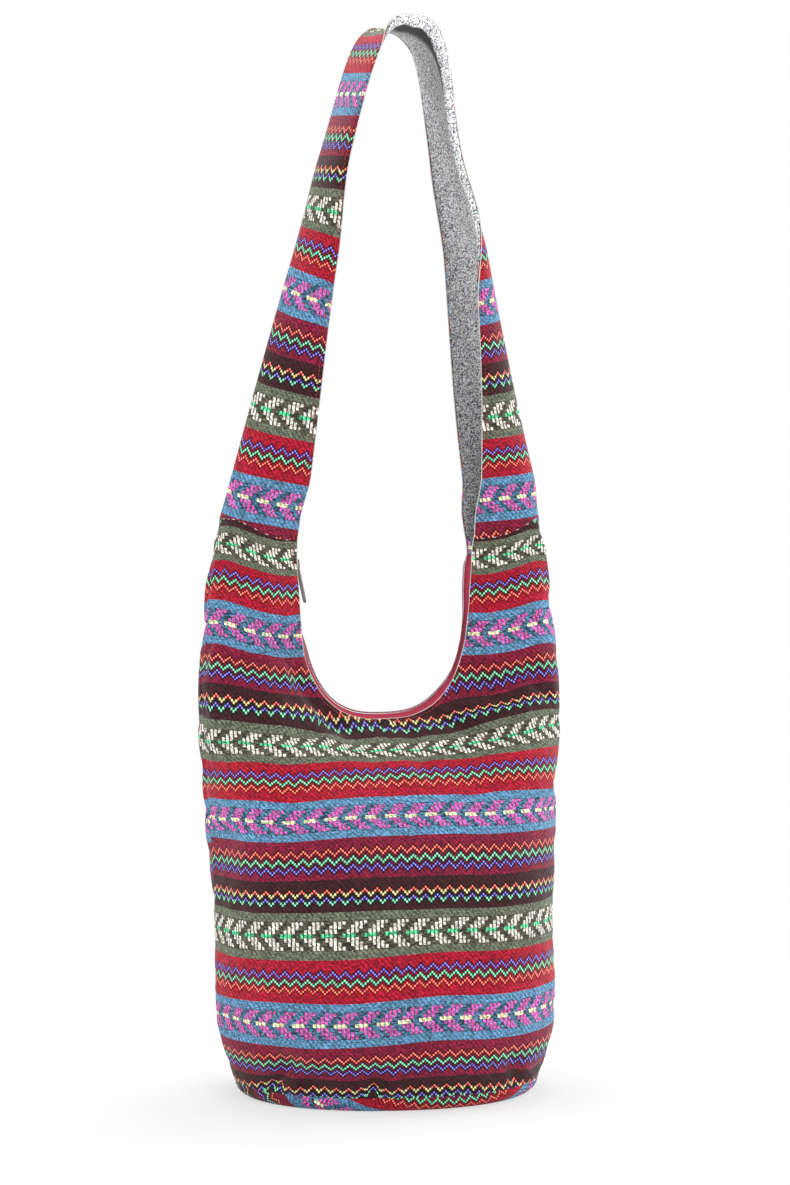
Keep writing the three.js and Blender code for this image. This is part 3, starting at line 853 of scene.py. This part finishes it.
lining_cloth = mottled_lining("mottled_grey_lining")
pouch_grids = [*front_grids, *back_grids, base_grid()]
pouch_normals = shared_normals([grid[0] for grid in pouch_grids])
hung_grids = [
    (points - normals * pouch_depth, weft, warp)
    for (points, weft, warp), normals in zip(pouch_grids, pouch_normals)
]
pouch = cloth_piece("body_lining_cloth", hung_grids, lining_cloth, smoothing=0)
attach(pouch, "bag")
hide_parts("body_lining")


# Zip tapes: two crimson woven ribbons that meet at the coils and are pressed up between the hems.
# The outer margin of each is sewn behind the hem of the neckline.

zip_slit = 0.0012
zip_rise = 0.0042
zip_low_rise = 0.0010
zip_end_rise = 0.0028
tape_sink = 0.0002
tape_thickness = 0.0007
tape_inset = 0.0015
tape_columns = 6
tape_margin = 0.0042
margin_columns = 3
tape_hollow = 0.8
ways = {"front": -1, "back": 1}


def zip_lift(x, z):
    """How far the closed zip stands out of the neckline"""
    left = zip_rise * (1 - smooth(z, *slider_path))
    right = lerp(zip_rise, zip_low_rise, smooth(z, 0.318, 0.350)) + zip_end_rise * smooth(z, 0.375, 0.42)
    return np.where(x < 0, left, right * (1 - 0.6 * smooth(z, 0.43, zip_top_height)))


def neck_line():
    """Points along the neckline from its left end to its right end, and the way out of the bag at each"""
    heights = neck_heights(bowl_steps=48, straight_steps=16)
    half = np.stack([neck_half_at(heights), np.zeros_like(heights), heights], -1)
    line = np.concatenate([half[:0:-1] * (-1, 1, 1), half])
    along = unit(np.gradient(line, axis=0))
    return line, np.cross(along, (0, 1, 0))


def facing(grid, way):
    """A grid whose columns run the other way if its way is negative, so that its right side faces out"""
    return tuple(layer[:, ::-1] if way < 0 else layer for layer in grid)


def woven_tape():
    tape = Finish("crimson_zip_tape")
    across, along = tape.attribute("weft"), tape.attribute("warp")
    slant = abs((across * 0.4).fraction() - 0.5)
    rib = abs((along * 1.3 + slant * 3.0).fraction() * 2.0 - 1.0)
    colour = tape.mix(rib, linear(168, 34, 62), linear(208, 66, 96))
    tape.set(Base_Color=tape.shade(colour, tape.noise(60.0) * 0.3 + 0.85), Roughness=rib * -0.15 + 0.8)
    tape.bump(rib, 0.4, 0.0003)
    tape.set(Sheen_Weight=0.15, Specular_IOR_Level=0.3)
    return tape.material


tape_cloth = woven_tape()
neck_points, neck_out = neck_line()
neck_run = lengths_along(neck_points)
neck_half_depth = half_depth_at(neck_points[:, 0], neck_points[:, 2])
neck_lift = zip_lift(neck_points[:, 0], neck_points[:, 2])
share = np.concatenate([np.linspace(0, 1, tape_columns + 1), np.ones(margin_columns)])
tucked = np.concatenate([np.zeros(tape_columns), np.linspace(0, tape_margin, margin_columns + 1)])
from_middle = lerp(zip_slit / 2, neck_half_depth[:, None] - tape_inset, share)
tape_lift = neck_lift[:, None] * (1 - share) ** tape_hollow - tape_sink - tape_thickness / 2 - tucked
tape_weft = (from_middle + tucked) * 1000
tape_warp = np.broadcast_to(neck_run[:, None] * 1000, tape_weft.shape)
for word, face in ways.items():
    points = neck_points[:, None] + neck_out[:, None] * tape_lift[..., None]
    points[..., 1] = face * from_middle
    grid = facing((points, tape_weft, tape_warp), face)
    tape = cloth_piece(f"zip_tape_{word}_woven", [grid], tape_cloth, smoothing=0)
    body = tape.modifiers.new("Thickness", "SOLIDIFY")
    body.thickness, body.offset = tape_thickness, 0
    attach(tape, "bag")
    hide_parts(f"zip_tape_{word}")


# Zip coils: a spiral of crimson plastic, sewn to the inner edge of each tape.
# The turns of the back coil face the gaps between those of the front coil.

coil_pitch = 0.0014
coil_reach = 0.00055
coil_lift = 0.0004
coil_wire = 0.0003
coil_foot = 0.0001
coil_sides = 5
turn_points = 8


def along_path(at, run, path):
    """Points of a path at lengths along it"""
    return np.stack([np.interp(at, run, part) for part in path.T], -1)


def tube(path, radius, sides):
    """Points and faces of a round tube along a path, closed at both ends"""
    along = unit(np.gradient(path, axis=0))
    any_way = (0.31, 0.57, 0.76)
    across = [unit(np.cross(along[0], any_way))]
    for direction in along[1:]:
        across.append(unit(across[-1] - direction * (across[-1] @ direction)))
    across = np.array(across)
    third = np.cross(along, across)
    turns = np.arange(sides)[:, None] * 2 * math.pi / sides
    ring = np.cos(turns) * across[:, None] + np.sin(turns) * third[:, None]
    points = (path[:, None] + ring * radius).reshape(-1, 3)
    index = np.arange(len(points)).reshape(len(path), sides)
    after = np.roll(index, -1, axis=1)
    faces = np.stack([index[:-1], after[:-1], after[1:], index[1:]], -1).reshape(-1, 4).tolist()
    return points.tolist(), [*faces, index[0, ::-1].tolist(), index[-1].tolist()]


def solid_piece(name, parts, material):
    """One mesh object of several lists of points and faces"""
    points, faces = [], []
    for part_points, part_faces in parts:
        start = len(points)
        points += part_points
        faces += [[start + i for i in face] for face in part_faces]
    return mesh_object(name, points, faces, material)


def spun_plastic():
    plastic = Finish("crimson_coil_plastic")
    wear = plastic.noise(900.0, 3.0)
    colour = plastic.mix(wear, linear(112, 18, 40), linear(176, 46, 74))
    plastic.set(Base_Color=colour, Roughness=wear * 0.3 + 0.3, Specular_IOR_Level=0.5)
    plastic.bump(wear, 0.15, 0.0001)
    return plastic.material


coil_plastic = spun_plastic()
coil_run = np.arange(0, neck_run[-1], coil_pitch / turn_points)
centre = along_path(coil_run, neck_run, neck_points)
out = along_path(coil_run, neck_run, neck_out)
height = np.interp(coil_run, neck_run, neck_lift) + coil_foot + coil_lift + coil_wire
for word, face in ways.items():
    turn = coil_run / coil_pitch * 2 * math.pi + (math.pi if face > 0 else 0)
    spiral = centre + out * (height + coil_lift * np.sin(turn))[:, None]
    spiral[:, 1] = face * (zip_slit / 2 + coil_wire + coil_reach + coil_reach * np.cos(turn))
    coil = solid_piece(f"zip_coil_{word}_turns", [tube(spiral, coil_wire, coil_sides)], coil_plastic)
    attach(coil, "bag")
    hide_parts(f"zip_coil_{word}")


# Zip end tabs: a scrap of the jacquard's blue stripe at each end of the zip, between the two hems.
# Each is folded over once, with the fold down against the ends of the tapes.

tab_length = 0.0115
tab_gap = 0.0004
tab_fold = 0.0004
tab_side_gap = 0.0016
tab_rows = 7
tab_columns = 9
tab_fold_steps = 4
tab_stripe_rise = 12
tab_foot = zip_top_height + tab_gap + tab_fold
tab_top = zip_top_height + tab_gap + tab_length
turns = np.linspace(0, math.pi, tab_fold_steps + 1)[1:-1]
rise = np.linspace(tab_foot, tab_top, tab_rows)
heights = np.concatenate([rise[::-1], tab_foot - tab_fold * np.sin(turns), rise])
depths = tab_fold * np.concatenate([np.zeros(tab_rows), 1 - np.cos(turns), np.full(tab_rows, 2)])
tab_warp = stripe_starts["blue"] + body_stripe_start + tab_stripe_rise + (heights - tab_foot) * 1000
for word, side, flat_width in (("left", -1, 0.024), ("right", 1, 0.0105)):
    half = half_depth_at(side * neck_half_at(heights), heights) - tab_side_gap
    points = np.empty((len(heights), tab_columns, 3))
    points[..., 0] = side * (neck_half_at(heights) + depths)[:, None]
    points[..., 1] = half[:, None] * np.linspace(-1, 1, tab_columns) * side
    points[..., 2] = heights[:, None]
    warp = np.broadcast_to(tab_warp[:, None], points.shape[:2])
    tab = cloth_piece(f"zip_end_tab_{word}_fold", [(points, points[..., 1] * 1000, warp)], body_cloth)
    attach(tab, "bag")
    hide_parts(f"zip_end_tab_{word}")


# Zip slider and pull: die-cast metal with a dark satin plating that is rubbed bright along its edges.
# They are the solids of the frame with their edges rounded, and the pull hangs from the slider.

casting_rounding = 0.00025


def dark_plating():
    metal = Finish("dark_satin_plating")
    rubbed = metal.noise(220.0, 4.0)
    edge = Amount(metal, metal.node("ShaderNodeNewGeometry").outputs["Pointiness"])
    wear = ((edge - 0.5) * 4.0 + rubbed * 0.3).clamped()
    colour = metal.mix(wear, linear(52, 50, 52), linear(150, 146, 142))
    metal.set(Base_Color=colour, Roughness=rubbed * 0.25 + 0.25, Metallic=1.0)
    metal.bump(rubbed, 0.05, 0.0001)
    return metal.material


plating = dark_plating()
for word in ("zip_slider", "zip_pull"):
    casting = bpy.data.objects[word]
    casting.data.materials.clear()
    casting.data.materials.append(plating)
    rounding = casting.modifiers.new("Rounding", "BEVEL")
    rounding.width, rounding.segments, rounding.limit_method = casting_rounding, 2, "ANGLE"


# Straps: a left and a right strip of the jacquard, sewn to the arm stubs and to each other beside the crown.
# They bend round their length like a gutter, and their long edges are turned in as hems.
# The front margin is turned outwards from the left of the crown down the right strap.

crown_half_width = 0.036
crown_lean = 0.016
crown_drop = 0.006
crown_press = 0.003
crown_tilt = 0.07
strap_bow = 0.005
front_draw = 0.0108
stripe_lean = 0.41
corner_reach = {-1: 0.040, 1: 0.042}
corner_height = {-1: 0.895, 1: 0.880}
strap_top = 0.878
opening_run = 0.095
seam_run = 0.15
strap_rows = 110
strap_columns = 64
seam_past_crown = 4
left_margin, crown_margin = 0.0035, 0.0084
margin_narrowing = 0.0027
margin_turn = math.radians(-95)
strap_tuck = (0.0008, 0.0016)
strap_scale = 0.957
strap_start_slack = 0.0018
lean_height = 0.5
front_sag = {-1: 0.0138, 1: 0.008}
middle_lift = {-1: 0.0083, 1: 0.004}
left_top_lift = 0.0032
right_foot_lift = 0.003
edge_handles = np.array([(neck_half_width, 0.453), (0.060, 0.760), (0.034, strap_top), (0, strap_top)])
ridge_handles = np.array([(half_widths[-1], arm_seam_height), (0.057, 0.762), (0.035, 0.875), (0, 0.875)])


def strap_path(handles, side, run):
    """Points along a strap, whose bend beside the crown is drawn out into a corner"""
    t, bend = run[..., None], smooth(run, 0.5, 0.8)[..., None]
    a, b, c, d = handles
    c = lerp(c, np.array([corner_reach[side], corner_height[side]]), bend)
    return (1 - t) ** 3 * a + 3 * (1 - t) ** 2 * t * b + 3 * (1 - t) * t**2 * c + t**3 * d


def strap_points(side):
    """Rows from the arm seam to the crown, columns from the front edge to the back edge"""
    fine_run = np.linspace(0, 1, 2001)
    lengths = lengths_along(strap_path(ridge_handles, side, fine_run))
    even_run = np.interp(np.linspace(0, lengths[-1], strap_rows + 1), lengths, fine_run)
    run, across = np.meshgrid(even_run, np.linspace(-1, 1, strap_columns + 1), indexing="ij")
    reach, face = np.abs(across), np.sign(across)
    turn = reach * quarter_turn
    opened = crown_half_width - (crown_half_width - arm_half_gap) * np.exp(-run / opening_run)
    edge, ridge = strap_path(edge_handles, side, run), strap_path(ridge_handles, side, run)
    free = lerp(edge, ridge, np.cos(turn)[..., None])
    free = np.stack([side * free[..., 0], face * opened * np.sin(turn), free[..., 1]], -1)
    sewn = body_surface(np.full(run.shape, side), face, reach, np.full(run.shape, arm_seam_height))
    points = lerp(sewn, free, smooth(run, 0, seam_run)[..., None])
    height = points[..., 2].copy()
    rise = np.maximum(height - arm_seam_height, 0) / (strap_top - arm_seam_height)
    bowed = strap_bow * within(height, 0.468, 0.505, 0.68, 0.76)
    drawn_in = front_draw * smooth(height, 0.69, 0.78) * (1 - 0.3 * smooth(height, 0.80, 0.84))
    drawn_in *= smooth(points[..., 0], 0.008, 0.030) * np.sin(turn) * (face < 0)
    points[..., 0] += crown_lean * rise**2 + (bowed - drawn_in if side > 0 else bowed * np.sin(turn))
    points[..., 2] -= crown_drop * rise**4 + crown_press * rise**12
    points[..., 2] += crown_tilt * points[..., 1] * smooth(height, 0.80, 0.86)
    return points


def curled_margin(points, angles, widths):
    """Turns the front margin of a strap outwards, by an angle and a width for each row"""
    from_edge = lengths_along(points)
    crease = np.stack([along_path(*row) for row in zip(widths, from_edge, points)])
    axis = unit(np.gradient(crease, axis=0))
    bent = points.copy()
    for i, (angle, width) in enumerate(zip(angles, widths)):
        for j in np.nonzero(from_edge[i] < width)[0]:
            turn = angle * (0.3 + 0.7 * (1 - from_edge[i, j] / width))
            arm, k = points[i, j] - crease[i], axis[i]
            turned = arm * math.cos(turn) + np.cross(k, arm) * math.sin(turn)
            bent[i, j] = crease[i] + turned + k * (k @ arm) * (1 - math.cos(turn))
    return bent


def parted(rows):
    """Rows of the left and of the right strap, each from the arm seam up to the seam beside the crown"""
    crown_seam = strap_rows - seam_past_crown
    return rows[:crown_seam + 1], rows[crown_seam:][::-1]


def weft_of(points):
    """Length along each row of a grid in millimetres, counted from its middle column"""
    lengths = lengths_along(points)
    return (lengths - lengths[:, [points.shape[1] // 2]]) * 1000


def strap_warp(points, side):
    """Warp of a strap's points, cut so that the stripes lie level while the strap leans"""
    middle = strap_columns // 4
    y, z = points[..., 1], points[..., 2]
    run = lengths_along(points[:, middle])
    level = run * strap_scale
    level -= strap_start_slack * (1 - level / level[-1])
    upright = np.append(np.diff(z[:, middle]) / np.diff(run), 0)[:, None]
    height = z - stripe_lean * np.maximum(z - lean_height, 0) * y
    toward_front = np.clip(np.linspace(1, -1, strap_columns + 1), 0, 1)
    sag = (1 - smooth(z, 0.66, 0.76)) * (front_sag[side] * toward_front - middle_lift[side])
    if side < 0:
        sag -= left_top_lift * smooth(z, 0.73, 0.80)
    else:
        sag -= right_foot_lift * (1 - smooth(z, 0.50, 0.54))
    rise = level[:, None] + upright * (height - height[:, [middle]]) + sag
    return rise * 1000 + stripe_starts["blue"]


def strap_grid(points, flat_points, side):
    """The strap's grid with a hem on each edge, facing outwards"""
    normals = grid_normals(points) * side
    front, back = (hem(points, normals, column, strap_tuck) for column in (0, -1))
    whole = np.concatenate([front[:, ::-1], points, back], 1)
    warp = np.pad(strap_warp(flat_points, side), ((0, 0), (front.shape[1],) * 2), mode="edge")
    return facing((whole, weft_of(whole) * side, warp), side)


flat_band = np.concatenate([strap_points(-1), strap_points(1)[-2::-1]])
past_crown = lengths_along(flat_band[:, strap_columns // 2])
past_crown -= past_crown[strap_rows]
turned_out = smooth(past_crown, -0.045, -0.005)
margin_width = lerp(left_margin, crown_margin, smooth(past_crown, -0.030, 0.012))
margin_width -= margin_narrowing * smooth(past_crown, 0.015, 0.060)
margin_width *= 1 - 0.95 * smooth(past_crown, 0.15, 0.24)
band = curled_margin(flat_band, margin_turn * turned_out, margin_width)
straps = list(zip(("left", "right"), (-1, 1), parted(band)))
strap_cloth = woven_jacquard("strap_jacquard", 0)
for (word, side, points), flat_points in zip(straps, parted(flat_band)):
    strap = cloth_piece(f"{word}_strap_cloth", [strap_grid(points, flat_points, side)], strap_cloth)
    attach(strap, "bag")
    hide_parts(f"{word}_strap")


# Strap linings: strips of plain mottled grey cloth, sewn to the inside of each strap along its edges.
# Painted shade darkens them in the fold under the crown, and painted light makes them paler on the margin
# that is turned out.

lining_gap = 0.0017
# How strongly painted light brightens the lining on the turned-out margin
lapel_painted_light = 0.5
past_crease = lengths_along(flat_band) - margin_width[:, None]
# Reach of the painted shade in from the crease, at places along the band from the crown
painted_shade_places = (-0.024, -0.012, 0.0, 0.020, 0.035, 0.055, 0.075)
painted_shade_reaches = (0.0005, 0.040, 0.046, 0.032, 0.015, 0.009, 0.0005)
painted_shade_reach = np.interp(past_crown, painted_shade_places, painted_shade_reaches)[:, None]
# Painted shade for the fold under the crown, easing out away from the crease
painted_fold_shade = (past_crease > 0) * (1 - smooth(past_crease, 0.5 * painted_shade_reach, 1.1 * painted_shade_reach))
on_lapel = (past_crease <= 0) * turned_out[:, None]
# Each lining's fold attribute holds its painted shade, less the painted light on its turned-out margin
for (word, side, points), fold in zip(straps, parted(painted_fold_shade - lapel_painted_light * on_lapel)):
    inner = points - grid_normals(points) * side * lining_gap
    weft = weft_of(inner)
    warp = np.broadcast_to(lengths_along(inner[:, strap_columns // 2])[:, None] * 1000, weft.shape)
    grid = (inner, weft, warp, fold)
    lining = cloth_piece(f"{word}_strap_lining_cloth", [grid], lining_cloth, words=("weft", "warp", "fold"))
    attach(lining, "bag")
    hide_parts(f"{word}_strap_lining")


# Edge binding: a narrow fold of off-white tape, sewn over the rolled edges of the cloth.
# It shows as a thin line along the neckline and along the edges of the straps.

binding_radius = 0.0005
binding_sides = 7


def pale_tape():
    tape = Finish("off_white_binding")
    fleck = tape.noise(700.0, 3.0)
    colour = tape.mix(fleck, linear(188, 182, 176), linear(240, 236, 230))
    tape.set(Base_Color=colour, Roughness=fleck * 0.1 + 0.8, Sheen_Weight=0.15, Specular_IOR_Level=0.25)
    tape.bump(fleck, 0.3, 0.0002)
    return tape.material


def just_outside(points, normals, column):
    """A line along the rolled edge of a grid"""
    return points[:, column] + (square_out(points, column) - normals[:, column]) * hem_radius


binding_tape = pale_tape()
bindings = []
for word, grids in panels.items():
    arms = [points for points, *unused in grids[1:]]
    halves = [just_outside(points, grid_normals(points), edge_column(points)) for points in arms]
    left, right = sorted(halves, key=lambda line: line[-1, 0])
    bindings.append((f"neckline_binding_{word}", np.concatenate([left[::-1], right[1:]])))
for word, side, points in straps:
    for edge, column in (("front", 0), ("back", -1)):
        line = just_outside(points, grid_normals(points) * side, column)
        bindings.append((f"{word}_strap_binding_{edge}", line))
for name, line in bindings:
    binding = solid_piece(name, [tube(line, binding_radius, binding_sides)], binding_tape)
    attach(binding, "bag")


# Stitching: red machine stitches beside the neckline and the straps' edges, white tacks at the arm seams.
# Each is a short length of twisted thread that arches over the cloth and sinks into it at both ends.

stitch_inset = 0.0028
thread_sides = 5
stitch_arch = (-1.2, 0.5, 0.9, 0.5, -1.2)
# Pitch, length and thread radius
machine_stitch = (0.0032, 0.0023, 0.00026)
seam_tack = (0.010, 0.0030, 0.0003)


def twisted_thread(name, dark, light):
    thread = Finish(name)
    twist = thread.noise(1500.0, 2.0)
    thread.set(Base_Color=thread.mix(twist, dark, light), Roughness=twist * 0.2 + 0.55, Sheen_Weight=0.2)
    thread.bump(twist, 0.3, 0.0001)
    return thread.material


def stitches(line, out, pitch, length, radius):
    """Short arched threads along a line, each with its ends sunk into the cloth"""
    run = lengths_along(line)
    lift = radius * np.array(stitch_arch)[:, None]
    parts = []
    for start in np.arange(pitch / 2, run[-1] - length, pitch):
        at = start + np.linspace(0, length, len(stitch_arch))
        path = along_path(at, run, line) + along_path(at, run, out) * lift
        parts.append(tube(path, radius, thread_sides))
    return parts


def edge_stitches(points, normals, column):
    """Machine stitches along a line a little inside an edge column of a grid"""
    order = slice(None) if column == 0 else slice(None, None, -1)
    line, out = [], []
    for row, normal in zip(points[:, order], normals[:, order]):
        run = lengths_along(row)
        line.append(along_path(stitch_inset, run, row))
        out.append(along_path(stitch_inset, run, normal))
    return stitches(np.array(line), unit(np.array(out)), *machine_stitch)


red_thread = twisted_thread("red_thread", linear(150, 20, 30), linear(225, 60, 60))
white_thread = twisted_thread("white_thread", linear(200, 196, 190), linear(246, 244, 240))
sewing = []
for word, grids in panels.items():
    seams, tacks = [], []
    for points, *unused in grids[1:]:
        normals = grid_normals(points)
        seams += edge_stitches(points, normals, edge_column(points))
        tacks += stitches(points[-1], normals[-1], *seam_tack)
    sewing.append((f"neckline_stitches_{word}", seams, red_thread))
    sewing.append((f"arm_seam_tacks_{word}", tacks, white_thread))
for word, side, points in straps:
    normals = grid_normals(points) * side
    seams = edge_stitches(points, normals, 0) + edge_stitches(points, normals, -1)
    sewing.append((f"{word}_strap_stitches", seams, red_thread))
for name, threads, finish in sewing:
    stitching = solid_piece(name, threads, finish)
    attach(stitching, "bag")


# Floor, light and camera: a pale seamless floor and soft studio light.
# The camera stands to the left of the front, where the photograph was taken from.

camera_azimuth = math.radians(-20)
camera_distance = 2.3
camera_height = 0.50
camera_pitch = math.radians(2.26)
aim_offset_pixels = 13
focal_length_pixels = 2805
aim_right = math.atan(aim_offset_pixels / focal_length_pixels)
long_side_lens = 85.65
floor_half = 6
floor_grey = (0.86, 0.86, 0.86, 1)
glow_start, glow_end = 0.16, 0.75
least_glow = 0.62
sky_strength = 0.5
white = (1, 1, 1, 1)


def shown(finish, output, lit, seen, share=1.0):
    """Light on the object comes from one shader; the camera, metal and glass see a share of the other"""
    path = finish.node("ShaderNodeLightPath")
    total = Amount(finish, path.outputs["Is Camera Ray"])
    for word in ("Is Glossy Ray", "Is Transmission Ray"):
        total = total.at_least(path.outputs[word])
    inputs = {0: total * share, 1: lit.outputs[0], 2: seen.outputs[0]}
    mixed = finish.node("ShaderNodeMixShader", inputs).outputs[0]
    finish.feed(finish.tree.nodes[output].inputs["Surface"], mixed)


floor_finish = Finish("pale_floor")
floor_finish.tree.nodes.remove(floor_finish.shader)
floor_paint = floor_finish.node("ShaderNodeBsdfDiffuse", {"Color": floor_grey})
floor_glow = floor_finish.node("ShaderNodeEmission")
place = floor_finish.node("ShaderNodeNewGeometry").outputs["Position"]
distance = floor_finish.node("ShaderNodeVectorMath", {0: place}, operation="LENGTH").outputs["Value"]
limits = {0: distance, 1: glow_start, 2: glow_end, 3: least_glow, 4: 1.0}
brightening = floor_finish.node("ShaderNodeMapRange", limits, interpolation_type="SMOOTHSTEP").outputs[0]
shown(floor_finish, "Material Output", floor_paint, floor_glow, brightening)
corners = [(x * floor_half, y * floor_half, 0) for x, y in ((-1, -1), (1, -1), (1, 1), (-1, 1))]
floor = mesh_object("floor", corners, [(0, 1, 2, 3)], floor_finish.material)

camera_data = bpy.data.cameras.new("camera")
camera_data.sensor_width = 36
camera_data.lens = long_side_lens
camera = bpy.data.objects.new("camera", camera_data)
bpy.context.collection.objects.link(camera)
camera.location = (
    camera_distance * math.sin(camera_azimuth), -camera_distance * math.cos(camera_azimuth), camera_height,
)
camera.rotation_euler = (quarter_turn - camera_pitch, 0, camera_azimuth - aim_right)
bpy.context.scene.camera = camera

# Each lamp: name, place, aim, width and power
lamps = [
    ("front_box", (0.5, -2.6, 1.5), (0, 0, 0.45), 1.8, 26),
    ("left_strip", (-1.9, 0.35, 0.9), (0, 0, 0.4), 1.2, 14),
    ("right_strip", (1.9, 0.25, 1.0), (0, 0, 0.4), 1.2, 20),
    ("top_box", (0.1, 0.3, 2.2), (0, 0, 0.6), 1.2, 26),
]
for name, place, aim, width, power in lamps:
    light = bpy.data.lights.new(name, "AREA")
    light.energy, light.size = power, width
    lamp = bpy.data.objects.new(name, light)
    lamp.location = place
    lamp.rotation_euler = (Vector(aim) - Vector(place)).to_track_quat("-Z", "Y").to_euler()
    bpy.context.collection.objects.link(lamp)

world = bpy.data.worlds.new("studio")
bpy.context.scene.world = world
sky = Finish("studio", world)
sky_light, sky_seen = sky.tree.nodes["Background"], sky.node("ShaderNodeBackground")
for background, strength in ((sky_light, sky_strength), (sky_seen, 1.0)):
    sky.feed(background.inputs["Color"], white)
    sky.feed(background.inputs["Strength"], strength)
shown(sky, "World Output", sky_light, sky_seen)

bpy.context.scene.view_settings.view_transform = "Standard"
